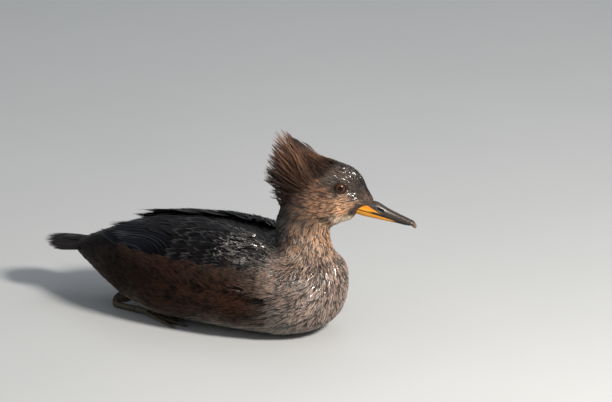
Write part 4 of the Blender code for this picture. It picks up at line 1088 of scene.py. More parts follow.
def zone_weights():
    """For each zone of the coat, whether each point of the skin lies in it."""
    points = skin_points
    x, y, z = points.T
    a, sideways, height = head_coordinates(points)
    crest_line = behind_crest_line(points)
    eye = np.minimum(*(np.linalg.norm(points - (eye_middle(s) + eye_axis(s) * 4.0), axis=1) for s in (1, -1)))
    bill = (a > BILL_BARE_FROM) & (abs(sideways) < smooth(BILL, a) + 0.4)
    bill = bill & (height < smooth(BILL, a, 2) + 0.3) & (height > smooth(BILL, a, 4) - 0.3)
    middle = smooth(CLOAK, x, 3)
    aside, above = abs(y) / smooth(CLOAK, x, 1), (z - middle) / (smooth(CLOAK, x, 2) - middle)
    spoke = np.degrees(np.arctan2(aside, above))
    under_wing = (abs(x) < WING_COVERS) & (z > 36)
    under_wing = under_wing & (spoke > smooth(WING_EDGES, x, 1) + 3) & (spoke < smooth(WING_EDGES, x, 2) - 1)
    on, off = on_head(points) >= 0.5, on_head(points) < 0.5
    on = on & (eye > EYE_CLEAR) & ~bill
    neck = off & (z > 63) & (x > 52)
    body = off & ~under_wing & ~neck
    breast = body & (x > 78)
    back = body & ~breast & (z > 50) & (spoke < 40)
    belly = body & ~breast & ~back & (z < 14)
    flank = body & ~breast & ~back & ~belly
    plain = on & (crest_line < 3)
    brow = on & (a > -4) & (crest_line < 0) & (height - 119 > -0.85 * (a - 6))
    return {
        "face": plain & (a > -7), "crown": plain & (a <= -7), "crest": on & (crest_line >= 3), "glints": brow,
        "breast_glints": body & (x > 90) & (z > 42) & (z < 63), "neck": neck, "breast": breast, "back": back,
        "flank": flank, "flank_wisps": flank, "belly": belly,
    }


FUR = plumage("wet_face_feathers", 0.38, 0.50, 0.26, (0.66, 0.52, 0.42, 1.0), 12.0)
GLINTS = plumage("soaked_forehead_feathers", 0.15, 0.60, 0.05, (0.20, 0.18, 0.17, 1.0), 0.0, 0.9)
# The neck's near-white edge colour is partly the feathers' pale fringe and partly a painted highlight
NECK_FUR = plumage("wet_neck_feathers", 0.30, 0.60, 0.45, (0.95, 0.82, 0.74, 1.0), 12.0, 0.5)
BODY_FUR = plumage("wet_body_feathers", 0.48, 0.52, 0.40, (0.085, 0.040, 0.026, 1.0), 26.0, 0.06)
# Painted reflection: the back feathers' edge colour is tinted blue for the sky's sheen on wet plumage
BACK_FUR = plumage("wet_back_feathers", 0.42, 0.50, 0.35, (0.030, 0.031, 0.038, 1.0), 26.0, 0.10)
BELLY_FUR = plumage("belly_feathers", 0.5, 0.40, 0.20, (0.60, 0.56, 0.50, 1.0), 26.0)
# Zone: spacing, length, width, height of root and tip, card, finish, slot, tuft size, pull, wavering, arch.
# Numbers up to the tips' height, and the arch, are millimetres.
COAT = {
    "face": (0.48, 4.4, 0.42, -0.15, 0.60, "hair", FUR, "head_feathers", 8, 0.60, 0.22, 0.12),
    "crown": (0.70, 6.0, 0.60, -0.2, 0.60, "hair", FUR, "head_feathers", 9, 0.60, 0.20, 0.12),
    "crest": (0.80, 9.0, 0.70, -0.2, 0.80, "hair", FUR, "crest_feathers", 9, 0.60, 0.15, 0.12),
    "glints": (1.35, 3.4, 0.85, 0.25, 0.60, "hair", GLINTS, "head_feathers", 3, 0.50, 0.30, 0.40),
    "breast_glints": (2.6, 4.5, 0.9, 0.7, 1.6, "hair", GLINTS, "body_feathers", 3, 0.50, 0.40, 0.50),
    "neck": (0.52, 6.2, 0.42, -0.3, 1.30, "hair", NECK_FUR, "neck_feathers", 7, 0.85, 0.60, 0.20),
    "breast": (0.62, 6.8, 0.50, -0.3, 1.40, "hair", NECK_FUR, "body_feathers", 7, 0.85, 0.60, 0.22),
    "back": (2.6, 13.0, 7.5, -0.5, 1.2, "contour", BACK_FUR, "body_feathers", 4, 0.20, 0.15, 0.5),
    "flank": (2.6, 13.0, 7.0, -0.4, 1.1, "contour", BODY_FUR, "body_feathers", 4, 0.25, 0.35, 0.5),
    "flank_wisps": (1.5, 8.0, 0.90, 0.1, 1.35, "hair", BODY_FUR, "body_feathers", 7, 0.60, 0.45, 0.18),
    "belly": (2.6, 12.0, 6.5, -0.4, 0.9, "lock", BELLY_FUR, "body_feathers", 4, 0.3, 0.3, 0.4),
}
COAT_PIECE = 13000  # the most feathers in one piece
ROLL, GLINT_ROLL = 0.15, 0.40  # how far a feather's edges lean up and down, in millimetres


def lay_coat(zone, roots, outs, draw):
    """Lays one zone's feathers on their roots, in tufts that share their aim and their shade."""
    spacing, length, width, low, high, card, finish, slot, every, pull, wander, arch = COAT[zone]
    count = len(roots)
    order = draw.permutation(count)
    roots, outs = roots[order], outs[order]
    ways = lie_at(roots, outs)
    ways = unit(ways + wander * swirl(roots, 16.0)[:, None] * np.cross(outs, ways))
    sizes = length * draw.uniform(0.75, 1.25, count)
    ways, tuft = tufted(roots, ways, sizes, every, pull)
    ways = ways + draw.normal(0, 0.06, (count, 3))
    ways = unit(ways - (ways * outs).sum(1)[:, None] * outs)
    shades = 0.62 * draw.uniform(0, 1, tuft.max() + 1)[tuft] + 0.38 * draw.uniform(0, 1, count)
    heights = high * draw.uniform(0.5, 1.3, count)
    widths = width * draw.uniform(0.8, 1.2, count)
    pieces = -(-count // COAT_PIECE)
    lean = GLINT_ROLL if finish == GLINTS else ROLL
    for part, chosen in enumerate(np.array_split(np.arange(count), pieces)):
        name = f"coat_{zone}" + (f"_{part + 1}" if pieces > 1 else "")
        placed = (values[chosen] for values in (roots, ways, outs, sizes, widths))
        lay(name, *placed, low, heights[chosen], draw.uniform(-lean, lean, len(chosen)), shades[chosen], card,
            finish, slot, skin, arch)


weights = zone_weights()
draw = np.random.default_rng(7)
for seed, zone in enumerate(COAT):
    lay_coat(zone, *sow(skin, weights[zone].astype(float), COAT[zone][0], seed + 1), draw)

# %% [markdown]
# The folded wing is a stack of tiles. From the lowest layer up it has the long primaries, which reach over
# the rump, the secondaries, which bow upwards and so curve down behind, the long tertials that cover them,
# coverts that grow smaller towards the shoulder, and the scapulars, which fall from the back over all of
# it. All of them lie on a guide: the rounded face of the folded wings, running down onto the breast in
# front.

# %% The face on which wing feathers lie
GUIDE_X, GUIDE_TURNS = np.linspace(-112, 96, 105), np.linspace(-110, 110, 133)  # millimetres, degrees
GUIDE_FALL = (60, 86)  # from where to where the guide comes down to the breast


def guide_at(x, angle):
    """The cloak, running down onto the breast in front."""
    share = ramp(x, *GUIDE_FALL)[..., None] + 0 * angle[..., None]
    return cloak_at(x, angle) * (1 - share) + torso_at(x, angle) * share


def wing_face():
    """The rounded face on which wing feathers lie. It is only a guide, and is removed in the end."""
    x, angle = GUIDE_X[:, None], np.radians(GUIDE_TURNS)[None, :]
    grid = guide_at(x, angle)
    made = mesh_object("wing_face", grid, grid_faces(*grid.shape[:2], closed=False))
    out = unit(np.cross(np.gradient(grid, axis=0), np.gradient(grid, axis=1)))
    centre = stacked(x, 0.0, 38.0)
    out = out * np.sign((out * (grid - centre)).sum(-1))[..., None]
    mark(made, "out", out.reshape(-1, 3), VECTOR)
    made.hide_render = True
    return made


wing_surface = wing_face()
print("wing face:", len(wing_surface.data.vertices), "points")

# %% [markdown]
# A row of flight feathers is given by its first and last feather, and within it the feather nearer to the
# back lies over the next. Coverts and scapulars are tiled like scales, row after row from the rear
# forwards.

# %% Feathers of the folded wings
# Row: count, roots and tips of the lowest and the highest feather (x, angle), width, height of root and tip,
# step from feather to feather, roll, how far the middle bows up
FLIGHT_ROWS = {
    "primaries": (7, ((-28, 63), (-42, 46)), ((-93, 47), (-72, 37)), 10.5, (-1.2, 0.1), 0.12, 0.35, 0.0),
    "secondaries": (13, ((-32, 76), (8, 36)), ((-64, 57), (-87, 33)), 9.5, (-1.2, 0.6), 0.10, 0.40, 4.5),
    "tertials": (6, ((-4, 38), (10, 17)), ((-80, 31), (-64, 17)), 12.0, (-1.1, 1.6), 0.12, 0.40, 2.0),
}
# Tier of scales: x of the rearmost and foremost tips, length shown there, width there, the share of the
# wing's breadth that it covers, height of root and tip, roll, card
SCALE_TIERS = {
    "coverts": ((-16, 68), (15.0, 4.0), (10.5, 5.2), (0.26, 0.97), (-0.8, 1.6), 0.40, "covert"),
    "scapulars": ((-52, 60), (19.0, 5.5), (13.5, 7.0), (0.03, 0.44), (-0.8, 2.2), 0.35, "scapular"),
}
WING_RADIUS, SCALE_APART, SCALE_JITTER = 59.0, 0.58, 0.12  # millimetres, and shares of a feather's width
SCALE_HIDDEN, FRONT_ROOTS = (1.9, 4.5), 76.0  # a scale's hidden length, and the foremost roots' x
SPOKE_HEIGHT = 36.0  # of the line from which wing feathers face away
# The flight feathers' tone and streaks and the wing finish's edge colour are dark, with a blue tint painted
# in as the sky's reflection on wet plumage
WING_TONE, COVERT_TONE = (0.0040, 0.0048, 0.0078), (0.0055, 0.0048, 0.0058)
WING_STREAK = (0.0018, 0.0020, 0.0028)
WING = plumage("wet_wing_feathers", 0.36, 0.4, 0.60, (0.095, 0.100, 0.118, 1.0), 55.0, 0.08)
COVERT = plumage("wet_coverts", 0.38, 0.4, 0.65, (0.088, 0.080, 0.082, 1.0), 40.0, 0.08)


def flight_row(count, roots, tips, width, heights, step, roll, draw):
    """Roots and tips (x, angle) of one row, with widths, heights at the tip and roll."""
    t = np.linspace(0, 1, count)[:, None]
    root = np.array(roots[0], float) + (np.array(roots[1]) - np.array(roots[0])) * t
    tip = np.array(tips[0], float) + (np.array(tips[1]) - np.array(tips[0])) * t
    tip += draw.normal(0, 1, (count, 2)) * (1.2, 0.5)
    return root, tip, width * draw.uniform(0.92, 1.08, count), heights[1] + step * np.arange(count), roll


def scale_tier(tips, shown, widths, breadth, heights, roll, draw):
    """The same for feathers tiled like scales, row after row from the rear forwards."""
    roots, ends, sizes = [], [], []
    x, row = tips[0], 0
    while x < tips[1]:
        share = (x - tips[0]) / (tips[1] - tips[0])
        show = shown[0] + (shown[1] - shown[0]) * share ** 0.6
        width = widths[0] + (widths[1] - widths[0]) * share
        upper, lower = smooth(WING_EDGES, x, 1), smooth(WING_EDGES, x, 2)
        apart = math.degrees(SCALE_APART * width / WING_RADIUS) / (lower - upper)
        across = np.arange(breadth[0] + (row % 2) * apart / 2, breadth[1], apart)
        across = across + draw.normal(0, SCALE_JITTER, len(across)) * apart
        tip_x = x + draw.normal(0, 0.10, len(across)) * show
        hidden = (SCALE_HIDDEN[0] * show + SCALE_HIDDEN[1]) * draw.uniform(0.9, 1.1, len(across))
        root_x = np.minimum(x + hidden, FRONT_ROOTS)
        for place, held in ((tip_x, ends), (root_x, roots)):
            upper, lower = smooth(WING_EDGES, place, 1), smooth(WING_EDGES, place, 2)
            held.append(np.stack([place, upper + (lower - upper) * across], 1))
        sizes.append(np.full(len(across), width))
        x, row = x + show, row + 1
    roots, ends, sizes = (np.concatenate(held) for held in (roots, ends, sizes))
    count = len(roots)
    ends[:, 1] += draw.normal(0, 0.9, count)
    sizes = sizes * draw.uniform(0.88, 1.15, count)
    return roots, ends, sizes, heights[1] + draw.uniform(-0.35, 0.45, count), roll


def lay_wing_feathers(name, side, root, tip, width, high, roll, low, card, tone, finish, draw, bow=0.0):
    """Lays feathers from roots to tips, given by x and angle, on one side's folded wing."""
    flip = np.array((1.0, side, 1.0))
    start, end = (guide_at(p[:, 0], np.radians(p[:, 1])) * flip for p in (root, tip))
    out = unit((start + end) / 2 - stacked((root[:, 0] + tip[:, 0]) / 2, 0.0, SPOKE_HEIGHT))
    count = len(root)
    tone = np.tile(tone, (count, 1)) * draw.uniform(0.5, 1.6, (count, 1))
    roll = -side * roll * draw.uniform(0.5, 1.4, count)
    lay(name, start, unit(end - start), out, np.linalg.norm(end - start, axis=1), width, low, high, roll,
        draw.uniform(0, 1, count), card, finish, "wing_feathers", wing_surface, 0.7, 0.8,
        ("wing_l" if side > 0 else "wing_r",), (tone, np.tile(WING_STREAK, (count, 1))), -side * bow)


def make_wing(side):
    letter = "l" if side > 0 else "r"
    draw = np.random.default_rng(21 if side > 0 else 22)
    for row, (*values, bow) in FLIGHT_ROWS.items():
        placed, low = flight_row(*values, draw), values[4][0]
        lay_wing_feathers(f"wing_{letter}_{row}", side, *placed, low, "flight", WING_TONE, WING, draw, bow)
    for tier, (*values, card) in SCALE_TIERS.items():
        placed, low = scale_tier(*values, draw), values[4][0]
        lay_wing_feathers(f"wing_{letter}_{tier}", side, *placed, low, card, COVERT_TONE, COVERT, draw)


make_wing(1)
make_wing(-1)

# %% [markdown]
# On a resting duck the folded wing has no edge of its own. The long feathers of the flank fold up over its
# lower edge like a pocket, and the feathers of shoulder and breast spread back over its front edge, with
# pale tips painted as highlights, wisps that melt them into the breast, and a few soaked tufts that glint,
# their tips painted near white as highlights. All of them are sown on the wing's guide face near those
# edges, so that they lie over the coverts.

# %% Feathers over the wings' edges
# Cover: x of its ends, its band of angles (from the wing's lower edge for those of the flank), spacing,
# length, width, height of root and tip, upward turn, card
EDGE_COVERS = {
    "pocket_feathers": ((-62, 86), (-3.0, 16.0), 2.0, 12.5, 6.0, (-1.6, 2.1), 0.32, "contour"),
    "pocket_wisps": ((-66, 88), (-5.0, 16.0), 1.5, 8.0, 0.9, (-1.0, 2.4), 0.30, "hair"),
    "shoulder_feathers": ((30, 88), (12, 50), 1.7, 9.5, 4.4, (-1.5, 2.0), 0.0, "contour"),
    "breast_side_feathers": ((32, 88), (46, 76), 1.8, 9.5, 4.4, (-1.6, 1.9), 0.10, "contour"),
    "shoulder_wisps": ((46, 94), (14, 84), 1.2, 8.0, 0.70, (-0.8, 2.2), 0.0, "hair"),
    "shoulder_glints": ((20, 66), (10, 40), 2.1, 6.5, 1.00, (0.6, 2.8), 0.0, "hair"),
}
SINK = 2.6  # how much deeper the covers' outer rows lie, so that they melt into the coat
NECK_CLEAR = 10.0  # degrees by which the shoulder's covers keep off the neck
BREAST_SIDE_FUR = plumage("wet_breast_side_feathers", 0.32, 0.6, 0.40, (0.60, 0.48, 0.42, 1.0), 12.0, 0.30)
# Painted highlights: the soaked tips and the shoulder feathers have near-white edges standing in for glints
# of light on wet plumage
SOAKED_TIPS = plumage("shoulder_tips_painted_highlight", 0.18, 0.35, 1.0, (0.95, 0.90, 0.87, 1.0), 0.0, 0.9)
SHOULDER_FUR = plumage("wet_shoulder_feathers_painted_highlight_edges", 0.34, 0.6, 1.0, (0.90, 0.85, 0.82, 1.0), 26.0, 0.25)


def lay_cover(name, weight, sink, cover, finish, draw):
    """Feathers sown on the guide face, as thickly as weight says, in the colours of the body there."""
    _, _, spacing, length, width, heights, turned, card = cover
    roots, outs = sow(wing_surface, np.ceil(weight), spacing, 71)
    finder = kdtree.KDTree(len(sink))
    for k, point in enumerate(points_of(wing_surface.data) / MM):
        finder.insert(point, k)
    finder.balance()
    near = np.array([finder.find(root)[1] for root in roots])
    kept = weight[near] > draw.uniform(0, 1, len(near))
    roots, outs, sink = roots[kept], outs[kept], sink[near[kept]]
    count = len(roots)
    ways = lie_at(roots, outs)
    aside = np.cross(outs, ways)
    aside *= np.sign(aside[:, 2:])
    ways = unit(ways + (turned + 0.2 * swirl(roots, 18.0) + draw.normal(0, 0.1, count))[:, None] * aside)
    sizes = length * draw.uniform(0.75, 1.25, count)
    lean = 0.8 if name.endswith("glints") else 0.3
    ways, tuft = tufted(roots, ways, sizes, 5, 0.35)
    shades = 0.5 * draw.uniform(0, 1, tuft.max() + 1)[tuft] + 0.5 * draw.uniform(0, 1, count)
    widths = width * draw.uniform(0.8, 1.2, count)
    high = heights[1] * draw.uniform(0.75, 1.1, count) - 0.7 * sink
    roll = draw.uniform(-lean, lean, count)
    lay(name, roots, ways, outs, sizes, widths, heights[0] - sink, high, roll, shades, card, finish,
        "body_feathers", wing_surface, 0.4)


def cover_finish(name):
    """The flank's covers are plain body feathers. The shoulder's wisps, feathers and glints differ."""
    if name.endswith("glints"):
        return SOAKED_TIPS
    if name == "shoulder_feathers":
        return SHOULDER_FUR
    return BREAST_SIDE_FUR if name == "shoulder_wisps" else BODY_FUR


def cover_edges():
    draw = np.random.default_rng(45)
    x, angle = np.repeat(GUIDE_X, len(GUIDE_TURNS)), np.tile(abs(GUIDE_TURNS), len(GUIDE_X))
    below = angle - smooth(WING_EDGES, x, 2)
    for name, cover in EDGE_COVERS.items():
        (rear, front), (upper, lower) = cover[:2]
        if name.startswith("pocket"):
            band, fading = below, 14
            sink = np.maximum(ramp(below, 5, 15), ramp(-x, 50, 64))
        else:
            band, fading = angle, 28
            upper = upper + NECK_CLEAR * ramp(x, 46, 62)
            sink = 0.4 * ramp(x, 80, 92)
        inside = (x > rear) & (x < front) & (band > upper) & (band < lower)
        thin = ramp(x, rear, rear + fading)
        lay_cover(name, inside * thin, SINK * sink, cover, cover_finish(name), draw)


cover_edges()

# %% [markdown]
# Eighteen stiff feathers make the tail, laid in a shallow fan, the middle pair on top and each outer one a
# little under its neighbour. They are laid on a gently arched guide, as the wing feathers are.

# %% The tail
TAIL_ROOT, TAIL_HEIGHT, TAIL_LENGTH, TAIL_PAIRS = -108.0, 45.2, 49.0, 9
TAIL_SLOPE, TAIL_ARCH = 0.06, 0.0035
TAIL_FAN, TAIL_APART, TAIL_WIDTH = 1.75, 1.55, 8.4  # degrees and millimetres between feathers, width
TAIL_TONE, TAIL_STREAK = (0.012, 0.0100, 0.0105), (0.010, 0.009, 0.010)
TAIL = plumage("tail_vanes", 0.55, 0.4, 0.30, (0.060, 0.052, 0.050, 1.0), 55.0, 0.06)


def tail_face():
    x, y = np.linspace(-165, -95, 40)[:, None], np.linspace(-32, 32, 41)[None, :]
    grid = stacked(x, y, TAIL_HEIGHT + TAIL_SLOPE * (x - TAIL_ROOT) - TAIL_ARCH * y ** 2)
    made = mesh_object("tail_face", grid, grid_faces(*grid.shape[:2], closed=False))
    out = unit(stacked(-TAIL_SLOPE, 2 * TAIL_ARCH * y + 0.0 * x, 1.0))
    mark(made, "out", out.reshape(-1, 3), VECTOR)
    made.hide_render = True
    return made


def make_tail():
    draw = np.random.default_rng(31)
    count = 2 * TAIL_PAIRS
    rank = np.repeat(np.arange(TAIL_PAIRS), 2)[::-1]
    side = np.tile((1.0, -1.0), TAIL_PAIRS)
    turn = np.radians(TAIL_FAN * (rank + 0.4))
    roots = stacked(TAIL_ROOT + 0.0 * rank, side * TAIL_APART * (rank + 0.5), TAIL_HEIGHT)
    ways = unit(stacked(-np.cos(turn), side * np.sin(turn), -TAIL_SLOPE))
    lengths = TAIL_LENGTH * (1 - 0.007 * rank - 0.0042 * rank ** 2) + draw.uniform(-0.8, 0.6, count)
    level = 0.9 - 0.32 * rank + 0.15 * (side > 0)
    tone = np.tile(TAIL_TONE, (count, 1)) * draw.uniform(0.8, 1.25, (count, 1))
    outs, streaks = np.tile((0.0, 0.0, 1.0), (count, 1)), np.tile(TAIL_STREAK, (count, 1))
    roll = -side * 0.5 * (rank > 0)
    lay("tail_feathers", roots, ways, outs, lengths, TAIL_WIDTH, level, level + 0.05, roll,
        draw.uniform(0, 1, count), "flight", TAIL, "tail_feathers", tail_surface, 0.3, 1.0, ("tail",),
        (tone, streaks))


tail_surface = tail_face()
make_tail()

# %% [markdown]
# The crest is a fan of long, loose, hair-like feathers. Each filament starts on the crown or the back of
# the head, first lies along it, then leaves it and runs to its place on the fan's ragged edge. Filaments
# gather in wet strands, and the fan's sides close towards its middle, so that it is thin at the back. The
# paths are polylines, and a tree sweeps a small three-sided profile along each, thinner towards its tip.

# %% The crest
CREST_PIVOT, CREST_SWEEP = (-14.0, 118.0), (95.0, -25.0)
# The fan's edge: share of the sweep, place along the head, height
CREST_TIPS = (
    (0.0, -33.0, 154.5), (0.12, -41.0, 160.0), (0.25, -49.8, 166.8), (0.35, -54.0, 160.0),
    (0.45, -55.5, 152.0), (0.58, -58.0, 144.5), (0.72, -62.0, 133.0), (0.82, -62.5, 125.0),
    (0.91, -59.0, 117.0), (1.0, -52.0, 107.0),
)
CREST_STEPS, CREST_GROUPS = 8, 300
CREST_PIECE = 3500  # the most filaments in one piece
# Colours half way and at the tip: of the fan's upper part, of its lower part, of its foremost filaments
CREST_MIDDLE = ((0.260, 0.128, 0.076), (0.120, 0.072, 0.052), (0.022, 0.016, 0.014))
CREST_TIP = ((0.290, 0.150, 0.100), (0.058, 0.047, 0.043), (0.022, 0.016, 0.014))
CREST_FRONT_EDGE = (0.032, 0.021, 0.017)
CREST = plumage("wet_crest_filaments", 0.48, 0.45, 0.0, (0.40, 0.26, 0.18, 1.0), 3.0, 0.2)


def combing_tree():
    tree = Tree("Comb filaments", (("Profile sides", "Int", 3), ("Finish", "Material", None)))
    thick = tree.named("thick")
    lines = tree.take("Curve", "GeometryNodeMeshToCurve", {"Mesh": tree.given["Geometry"]})
    lines = tree.take("Curve", "GeometryNodeSetCurveRadius", {"Curve": lines, "Radius": thick})
    profile = tree.take("Curve", "GeometryNodeCurvePrimitiveCircle", {
        "Resolution": tree.given["Profile sides"], "Radius": 1.0})
    swept = tree.take("Mesh", "GeometryNodeCurveToMesh", {
        "Curve": lines, "Profile Curve": profile, "Scale": thick, "Fill Caps": True})
    return tree.finish(tree.take("Geometry", "GeometryNodeRealizeInstances", {"Geometry": swept}))


COMBING = combing_tree()


def filaments(name, paths, thick, shade, ground, streaks, roots, finish, nodes=()):
    """Sweeps filaments along paths of equally many points, count by steps by three."""
    count, steps = paths.shape[:2]
    edges = [(k * steps + n, k * steps + n + 1) for k in range(count) for n in range(steps - 1)]
    lines = mesh_object(name + "_lines", paths, [], edges)
    along = np.tile(np.linspace(0, 1, steps), count)
    mark(lines, "thick", thick.ravel() * MM)
    mark(lines, "along", along)
    mark(lines, "across", np.full(count * steps, 0.5))
    mark(lines, "shade", np.repeat(shade, steps))
    mark(lines, "ground", ground.reshape(-1, 3), COLOUR)
    mark(lines, "streak", streaks.reshape(-1, 3), COLOUR)
    places = np.repeat(np.concatenate([unwrapped(roots), np.zeros((count, 1))], 1), steps, 0)
    mark(lines, "root_place", places, VECTOR)
    piece = grown_by(COMBING, lines, {"Profile sides": 3, "Finish": finish}, name)
    bpy.data.objects.remove(lines)
    hold_inside(piece)
    bake_map(piece)
    for label in ("thick", "root_place"):
        piece.data.attributes.remove(piece.data.attributes[label])
    return hand_in(piece, nodes)


def crest_roots(draw):
    """Roots on the crown and the back of the head, and the share of the fan that each belongs to."""
    weight = ramp(behind_crest_line(skin_points), -8, -2) * (on_head(skin_points) > 0.3)
    roots, outs = sow(skin, weight, 0.56, 51)
    a, _, height = head_coordinates(roots)
    direction = np.degrees(np.arctan2(height - CREST_PIVOT[1], CREST_PIVOT[0] - a))
    kept = np.flatnonzero((direction > -40) & (height > 96))
    kept = draw.permutation(kept)
    share = (CREST_SWEEP[0] - direction[kept]) / (CREST_SWEEP[0] - CREST_SWEEP[1])
    share = np.where(share < 0.03, draw.uniform(0, 0.15, len(share)), share)
    return roots[kept], outs[kept], np.minimum(share, 1)


def crest_tips(roots, share, draw):
    """Where the filaments end: each joins a strand, and a strand's filaments meet near its tip."""
    a, sideways, height = head_coordinates(roots)
    count = len(roots)
    strand_share, strand_side = draw.uniform(0, 1, CREST_GROUPS), draw.uniform(-1, 1, CREST_GROUPS)
    apart = abs(share[:, None] - strand_share) + 0.025 * abs(sideways[:, None] / 9 - strand_side)
    strand = np.argmin(apart + draw.uniform(0, 0.012, apart.shape), axis=1)
    loose = draw.uniform(0, 1, CREST_GROUPS) < 0.35
    long, short = draw.uniform(0.94, 1.10, CREST_GROUPS), draw.uniform(0.64, 0.97, CREST_GROUPS)
    strand_reach = np.where(loose, long, short)
    own = np.clip(share * 0.25 + strand_share[strand] * 0.75 + draw.normal(0, 0.006, count), 0, 1)
    reach = strand_reach[strand] * np.clip(1 - abs(draw.normal(0, 0.09, count)), 0.5, 1)
    side = strand_side[strand] * 2.6 + draw.normal(0, 0.35, count)
    reach = np.where(own < 0.3, np.clip(reach, 0.8, 1.0), reach)
    end = stacked(a + (smooth(CREST_TIPS, own, 1) - a) * reach, side * (1.2 - 0.5 * reach),
                  height + (smooth(CREST_TIPS, own, 2) - height) * reach)
    return head_place(*end.T), own, strand


def crest_paths(roots, outs, end, share, strand, draw):
    """Paths from the head to the fan's edge, and how thick each filament is along its path."""
    count = len(roots)
    start = roots - outs * 0.4
    length = np.linalg.norm(end - start, axis=1)[:, None]
    t = np.linspace(0, 1, CREST_STEPS)[None, :, None]
    leave = (lie_at(roots, outs) * 0.75 + outs * 0.18)[:, None] * length[:, None]
    bend = 0.15 + 0.75 * ramp(share, 0.3, 0.8)[:, None] * draw.uniform(0.0, 1.1, (CREST_GROUPS, 1))[strand]
    fan_middle = head_place(CREST_PIVOT[0] + 6, 0, CREST_PIVOT[1] + 6)
    arrive = unit(unit(end - fan_middle) + bend * np.array((0, 0, 1.0)))[:, None] * length[:, None] * 0.8
    basis = (2 * t ** 3 - 3 * t ** 2 + 1, t ** 3 - 2 * t ** 2 + t, -2 * t ** 3 + 3 * t ** 2, t ** 3 - t ** 2)
    paths = basis[0] * start[:, None] + basis[1] * leave + basis[2] * end[:, None] + basis[3] * arrive
    # The filaments of a strand cling together from half way on
    members = np.bincount(strand, minlength=CREST_GROUPS)
    core = np.stack([np.bincount(strand, paths[:, n, k], CREST_GROUPS) / np.maximum(members, 1)
                     for n in range(CREST_STEPS) for k in range(3)], 1).reshape(CREST_GROUPS, CREST_STEPS, 3)
    wave = draw.normal(0, 0.9, (CREST_GROUPS, 1, 3))
    wave = wave * np.sin(np.pi * t * draw.uniform(0.8, 2.0, (CREST_GROUPS, 1, 1)))
    gather = 0.62 * ramp(t, 0.15, 0.6) * draw.uniform(0.7, 1.1, (count, 1, 1))
    paths = paths + (core[strand] - paths) * gather + wave[strand]
    wander = draw.normal(0, 0.28, (count, 1, 3))
    paths = paths + wander * np.sin(np.pi * t * draw.uniform(0.8, 2.2, (count, 1, 1)))
    thick = np.linspace(1, 0, CREST_STEPS)[None, :] ** 0.6 * draw.uniform(0.13, 0.24, (count, 1)) + 0.02
    return paths, thick


def crest_tones(roots, share):
    """The head's own colour at the root, warm brown half way, and rufous or dusky at the tip."""
    t = np.linspace(0, 1, CREST_STEPS)[None, :, None]
    root_tone = tones_at(roots)[0]
    upper = ramp(0.80 - share, 0.0, 0.40)[:, None, None]
    front = ramp(0.055 - share, 0.0, 0.02)[:, None, None]
    edge = ramp(0.23 - share, 0.0, 0.06)[:, None, None]
    middle, tip = ((high * upper + low * (1 - upper)) * (1 - front) + dark * front
                   for high, low, dark in (np.array(CREST_MIDDLE), np.array(CREST_TIP)))
    tip = tip * (1 - edge) + np.array(CREST_FRONT_EDGE) * edge
    return np.where(t < 0.4, root_tone[:, None] * (1 - t / 0.4) + middle * t / 0.4,
                    middle * (1 - t) / 0.6 + tip * (t - 0.4) / 0.6)


def make_crest():
    draw = np.random.default_rng(41)
    roots, outs, share = crest_roots(draw)
    end, share, strand = crest_tips(roots, share, draw)
    count = len(roots)
    paths, thick = crest_paths(roots, outs, end, share, strand, draw)
    ground = crest_tones(roots, share)
    shades = 0.7 * draw.uniform(0, 1, CREST_GROUPS)[strand] + 0.3 * draw.uniform(0, 1, count)
    pieces = -(-count // CREST_PIECE)
    for part, chosen in enumerate(np.array_split(np.arange(count), pieces)):
        filaments(f"crest_filaments_{part + 1}", paths[chosen], thick[chosen], shades[chosen], ground[chosen],
                  ground[chosen] * 0.25, roots[chosen], CREST, ("crest",))


make_crest()

# %% [markdown]
# The bill is horn: narrow, with fine saw teeth along both edges that hold a fish, a hard nail at its tip
# and a slot of a nostril on each side. Its sections come from the table. The upper half arches over the
# line of the mouth and the lower half hangs under it, each a closed shell. How far along and how high a
# point lies is kept as an attribute, and the finish paints it: dusky above, orange-yellow along the edge
# and over most of the lower half, black towards the end, and a brown nail.

# %% The bill
BILL_ROWS, BILL_SIDES = 170, 40
MOUTH_GAP, LOWER_TIP, UPPER_TIP = 0.35, 55.5, 59.35
BILL_ROOT, ROWS_CROWD = 4.0, 1.15  # where the shells start, and how much closer their rows lie at the tip
NOSTRIL_AT, NOSTRIL_HEIGHT, NOSTRIL_DEPTH = 31.1, 104.3, 1.15
TEETH_EACH_MM, TEETH_DEPTH = 0.95, 0.22
NAIL_CREASE_AT, NAIL_CREASE_DEPTH = 52.6, 0.10
# The nail past the table's end: place, half width, top, lower edge
NAIL = ((56.0, 3.1, 96.3, 92.67), (57.3, 2.8, 95.5, 91.2), (58.6, 2.1, 93.9, 90.4), (59.4, 0.8, 92.3, 90.6))


def bill_sizes(a):
    """Half width, culmen, line of the mouth and lower edge of the bill, out to the end of the nail."""
    table_end = BILL[-1][0]
    half, top, mouth, low = (smooth(BILL, np.minimum(a, table_end), k) for k in (1, 2, 3, 4))
    tip = a > table_end
    return (np.where(tip, smooth(NAIL, a, 1), half), np.where(tip, smooth(NAIL, a, 2), top),
            np.where(tip, smooth(NAIL, a, 3) - MOUTH_GAP / 2, mouth), low)


